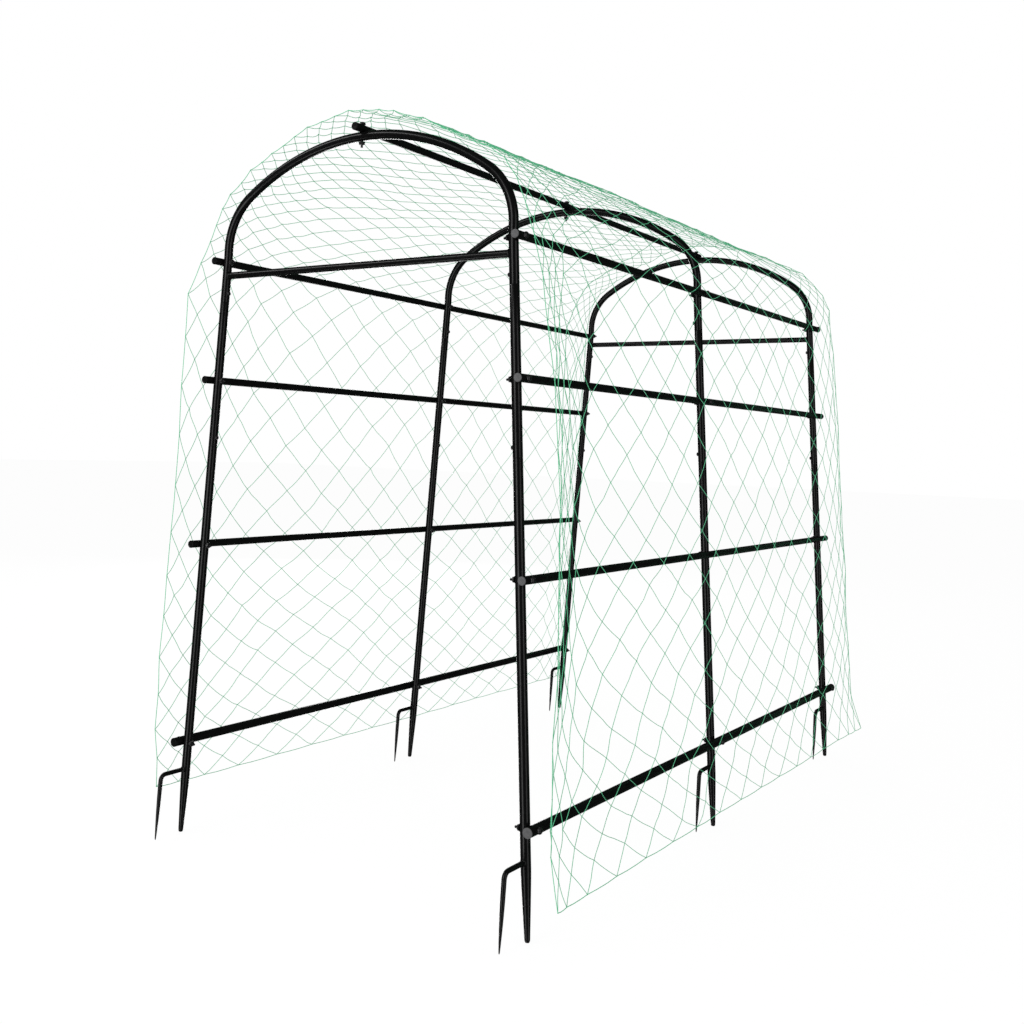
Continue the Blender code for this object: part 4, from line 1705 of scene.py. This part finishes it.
    def wall_points(self, side: Side) -> list[Vector]:
        """The net's line up one wall, straight from the bottom rail's bolts to the knee.

        Args:
            side: The wall's side.

        Returns:
            The points from hem to knee, at Y = 0.
        """
        line, hem = self.line, self.hems[side]
        knee_seat, low_seat = self.seat(line.rail_tube), self.seat(line.bottom_rail_tube)
        slant = (low_seat - knee_seat) / (line.knee.z - line.bottom_rail_height)
        flare_top = line.bottom_rail_height - self.flare_drop
        found = []
        for index in range(self.wall_steps):
            height = hem + (line.knee.z - hem) * index / self.wall_steps
            away = knee_seat + slant * (line.knee.z - height)
            point = line.leg_point(side, height) + line.leg_outward(side) * away
            below = max(0.0, (flare_top - height) / (flare_top - hem))
            point.x += side.sign * self.flares[side] * below
            found.append(point)
        return found

    def section_line(self) -> list[Vector]:
        """The net's line across the tunnel, from left hem to right hem.

        Returns:
            The points, at Y = 0.
        """
        roof = self.line.arch_points(self.roof_step, self.seat(self.line.rail_tube))[::-1]
        for point in roof:
            point.z += self.ridge_lift * max(0.0, 1.0 - abs(point.x) / self.ridge_reach)
        return self.wall_points(Side.LEFT) + roof + self.wall_points(Side.RIGHT)[::-1]

    def across(self, length: float) -> tuple[Vector, Vector]:
        """A point of the net's line and its outward direction.

        Args:
            length: Distance from the left hem.

        Returns:
            The point and the direction.
        """
        index = 0
        while index < len(self.lengths) - 2 and self.lengths[index + 1] < length:
            index += 1
        start, end = self.section[index], self.section[index + 1]
        share = (length - self.lengths[index]) / (self.lengths[index + 1] - self.lengths[index])
        return start.lerp(end, share), (end - start).normalized().cross(AXIS_Y)

    def row_length(self, row: float) -> float:
        """Where a row lies.

        Args:
            row: Its half row, from the left hem, not always whole.

        Returns:
            Its distance from the left hem.
        """
        share = min(max(row / (2 * self.rows), 0.0), 1.0)
        for (low, start), (high, end) in zip(self.row_places, self.row_places[1:]):
            if share <= high:
                return start + (end - start) * (share - low) / (high - low)
        return self.lengths[-1]

    def column_share(self, column: float, place: float) -> float:
        """Where a column lies between the front and rear edges.

        Args:
            column: Its half column, from the front, not always whole.
            place: Distance from the ridge, which sets how far the net is drawn together there.

        Returns:
            The share of the way to the rear.
        """
        front = [curve.at(place) for curve in self.front_columns]
        rear = [curve.at(place) for curve in self.rear_columns]
        widths = front + [1.0] * (self.columns - len(front) - len(rear)) + rear
        from_front = min(max(column / 2, 0.0), float(self.columns))
        whole = min(int(from_front), self.columns - 1)
        return (sum(widths[:whole]) + widths[whole] * (from_front - whole)) / sum(widths)

    def knot_point(self, column: int, row: int) -> Vector:
        """Where a knot hangs.

        Args:
            column: Its half column, from the front.
            row: Its half row, from the left hem.

        Returns:
            The knot's place.
        """
        across, down = self.drift_scale
        spot = Vector((column * across + self.seed, row * down, self.drift_layer))
        drift = noise.noise_vector(spot)
        across, down = self.jitter_scale
        spot = Vector((column * across, row * down + self.seed, self.jitter_layer))
        jitter = noise.noise_vector(spot)
        far, near = self.drift_share, self.jitter_share
        at_side = column in (0, 2 * self.columns)
        at_hem = row in (0, 2 * self.rows)
        moved_column = column + (0.0 if at_side else drift.x * far[0] + jitter.x * near[0])
        moved_row = row + (0.0 if at_hem else drift.y * far[1] + jitter.y * near[1])
        length = self.row_length(moved_row)
        place = length - self.ridge
        point, outward = self.across(length)
        front, rear = self.front.at(place), self.rear.at(place)
        share = self.column_share(moved_column, place)
        y = front + (rear - front) * share + (drift.x * self.edge_drift if at_side else 0.0)
        edge = math.exp(-min(y - front, rear - y) / self.edge_reach)
        least, more = self.lift
        lift = least + more * (0.5 + drift.z) + self.edge_lift * edge * (0.6 + jitter.z)
        folded = max(0.0, 1.0 - abs(place - self.fold_place) / self.fold_width)
        folded *= math.exp(-(y - front) / self.fold_reach)
        away = max(lift, self.least_lift) - self.fold_depth * folded
        return point + outward * away + AXIS_Y * y

    def lattice(self) -> bpy.types.Mesh:
        """The cords between the knots, each a separate edge, and a loose point for each knot.

        Returns:
            A mesh with the attribute "knot" where a knot is tied.
        """
        places = {
            (column, row): self.knot_point(column, row)
            for column in range(2 * self.columns + 1)
            for row in range(2 * self.rows + 1)
            if (column + row) % 2 == 0
        }
        points = list(places.values())
        for (column, row), start in places.items():
            for step in (-1, 1):
                end = places.get((column + step, row + 1))
                if end is not None:
                    points += [start, end]
        return self.cords_mesh("net_lattice", points, len(places))

    def border(self) -> bpy.types.Mesh:
        """The cords in the hems and in the front and rear edges, as single edges with no knots.

        Returns:
            The mesh.
        """
        last_column, last_row = 2 * self.columns, 2 * self.rows
        ring: list[Knot] = [(column, 0) for column in range(0, last_column, 2)]
        ring += [(last_column, row) for row in range(0, last_row, 2)]
        ring += [(column, last_row) for column in range(last_column, 0, -2)]
        ring += [(0, row) for row in range(last_row, 0, -2)]
        stops = [self.knot_point(column, row) for column, row in ring]
        ends = zip(stops, stops[1:] + stops[:1])
        return self.cords_mesh("net_border", [point for pair in ends for point in pair], 0)

    @staticmethod
    def cords_mesh(name: str, points: Sequence[Vector], knots: int) -> bpy.types.Mesh:
        """Loose knots, and after them the two ends of each cord.

        Args:
            name: Name of the mesh.
            points: The knots, then the ends.
            knots: How many knots.

        Returns:
            The mesh, with the attribute "knot".
        """
        edges = [(index, index + 1) for index in range(knots, len(points), 2)]
        tied = [index < knots for index in range(len(points))]
        return marked_mesh(name, points, edges, ("knot", "BOOLEAN"), tied)

    def build(self, finishes: Finishes) -> None:
        """Builds, dresses and places the net.

        Args:
            finishes: The materials.
        """
        tree = strand_tree()
        values = {
            "Cord": self.cord, "Knot": self.knot, "Sag": self.sag, "Wander": self.wander,
            "Pieces": self.cord_pieces, "Sides": self.cord_sides, "Seed": self.seed,
            "Material": finishes.net,
        }
        net = tree.run("knotted_plant_net", self.lattice(), values)
        parts = ("wall", "shoulder", "crown")
        settle(net, [f"net_{side.value}_{part}" for side in Side for part in parts])
        values |= {"Cord": self.edge_cord, "Wander": self.wander / 3, "Pieces": self.edge_pieces}
        settle(tree.run("net_border_cord", self.border(), values))


# The studio


@dataclass(frozen=True)
class Softbox:
    """A soft light, aimed at the middle of the object: its place, width and height, and watts."""

    name: str
    place: Triple
    size: Pair
    power: float
    aim: Triple = (0.0, 0.0, 1.0)

    def build(self) -> None:
        """Hangs the light."""
        data = bpy.data.lights.new(self.name, "AREA")
        data.shape = "RECTANGLE"
        data.size, data.size_y = self.size
        data.energy = self.power
        obj = new_object(self.name, data)
        obj.location = self.place
        beam = Vector(self.aim) - Vector(self.place)
        obj.rotation_euler = beam.to_track_quat("-Z", "Y").to_euler()


@dataclass(frozen=True)
class Studio:
    """Floor, lights, sky and the photograph's camera. The sky is as bright as ambient for the
    object's light, as mirrored in its gloss, and as backdrop to the camera.
    """

    lens: float = 40.91
    sensor: float = 36.0
    shift: Pair = (0.0586, -0.0977)
    stand: Triple = (1.9917, -3.4625, 1.1449)
    yaw: float = 0.6147
    pitch: float = 0.0296
    roll: float = 0.0345
    clip_end: float = 200.0
    floor_reach: float = 40.0
    ambient: float = 0.85
    mirrored: float = 0.02
    backdrop: float = 1.0
    lights: tuple[Softbox, ...] = (
        Softbox("left_softbox", (-0.5, -6.5, 2.1), (2.4, 4.0), 190.0),
        Softbox("right_softbox", (6.4, -2.0, 2.1), (2.2, 4.0), 95.0),
        Softbox("top_panel", (-3.84, -4.42, 4.8), (3.0, 1.2), 90.0),
        Softbox("rear_strip", (-5.0, 5.0, 2.6), (1.0, 4.0), 120.0),
    )

    def camera(self) -> None:
        """Sets the camera where the photograph's stood."""
        data = bpy.data.cameras.new("photo_camera")
        data.lens = self.lens
        data.sensor_width = self.sensor
        data.shift_x, data.shift_y = self.shift
        data.clip_end = self.clip_end
        level = math.cos(self.pitch)
        heading = Vector((
            -math.sin(self.yaw) * level, math.cos(self.yaw) * level, math.sin(self.pitch)
        ))
        right = heading.cross(AXIS_Z).normalized()
        up = right.cross(heading)
        tilted = right * math.cos(self.roll) + up * math.sin(self.roll)
        upright = up * math.cos(self.roll) - right * math.sin(self.roll)
        turn = Matrix((tilted, upright, -heading)).transposed().to_4x4()
        obj = new_object("photo_camera", data)
        obj.matrix_world = Matrix.Translation(Vector(self.stand)) @ turn
        bpy.context.scene.camera = obj

    def floor(self) -> None:
        """Lays the floor."""
        mesh = bpy.data.meshes.new("studio_floor")
        reach = self.floor_reach
        signs = ((-1, -1), (1, -1), (1, 1), (-1, 1))
        mesh.from_pydata([(x * reach, y * reach, 0.0) for x, y in signs], [], [(0, 1, 2, 3)])
        mesh.materials.append(PaleFloor().material())
        new_object("studio_floor", mesh)

    def sky(self) -> None:
        """Lights the scene from all round, in plain tones so that white stays white."""
        world = bpy.data.worlds.new("studio_world")
        world.use_nodes = True
        shade = ShaderTree(world.node_tree)
        path = shade.node("ShaderNodeLightPath").outputs
        around = shade.scaled(path["Is Glossy Ray"], self.ambient, self.mirrored)
        background = shade.tree.nodes["Background"].inputs
        shade.feed(background["Color"], (1.0, 1.0, 1.0))
        strength = shade.scaled(path["Is Camera Ray"], around, self.backdrop)
        shade.feed(background["Strength"], strength)
        bpy.context.scene.world = world
        bpy.context.scene.view_settings.view_transform = "Standard"

    def build(self) -> None:
        """Builds the camera, the floor, the lights and the sky."""
        self.camera()
        self.floor()
        for light in self.lights:
            light.build()
        self.sky()


def main() -> None:
    """Builds the camera and the studio, then each sub-assembly in turn."""
    logging.basicConfig(level=logging.INFO, format="%(name)s %(message)s")
    Studio().build()
    finishes = Finishes.build()
    line = HoopLine()
    scatter = scatter_tree()
    for place in HoopPlace:
        Hoop(place, line).build(finishes)
    RailSet(line).build(finishes, sweep_tree(), scatter)
    hardware = Hardware(line)
    hardware.bolts(finishes, scatter)
    hardware.screws(finishes, scatter)
    PlantNet(line).build(finishes)


if __name__ == "__main__":
    main()
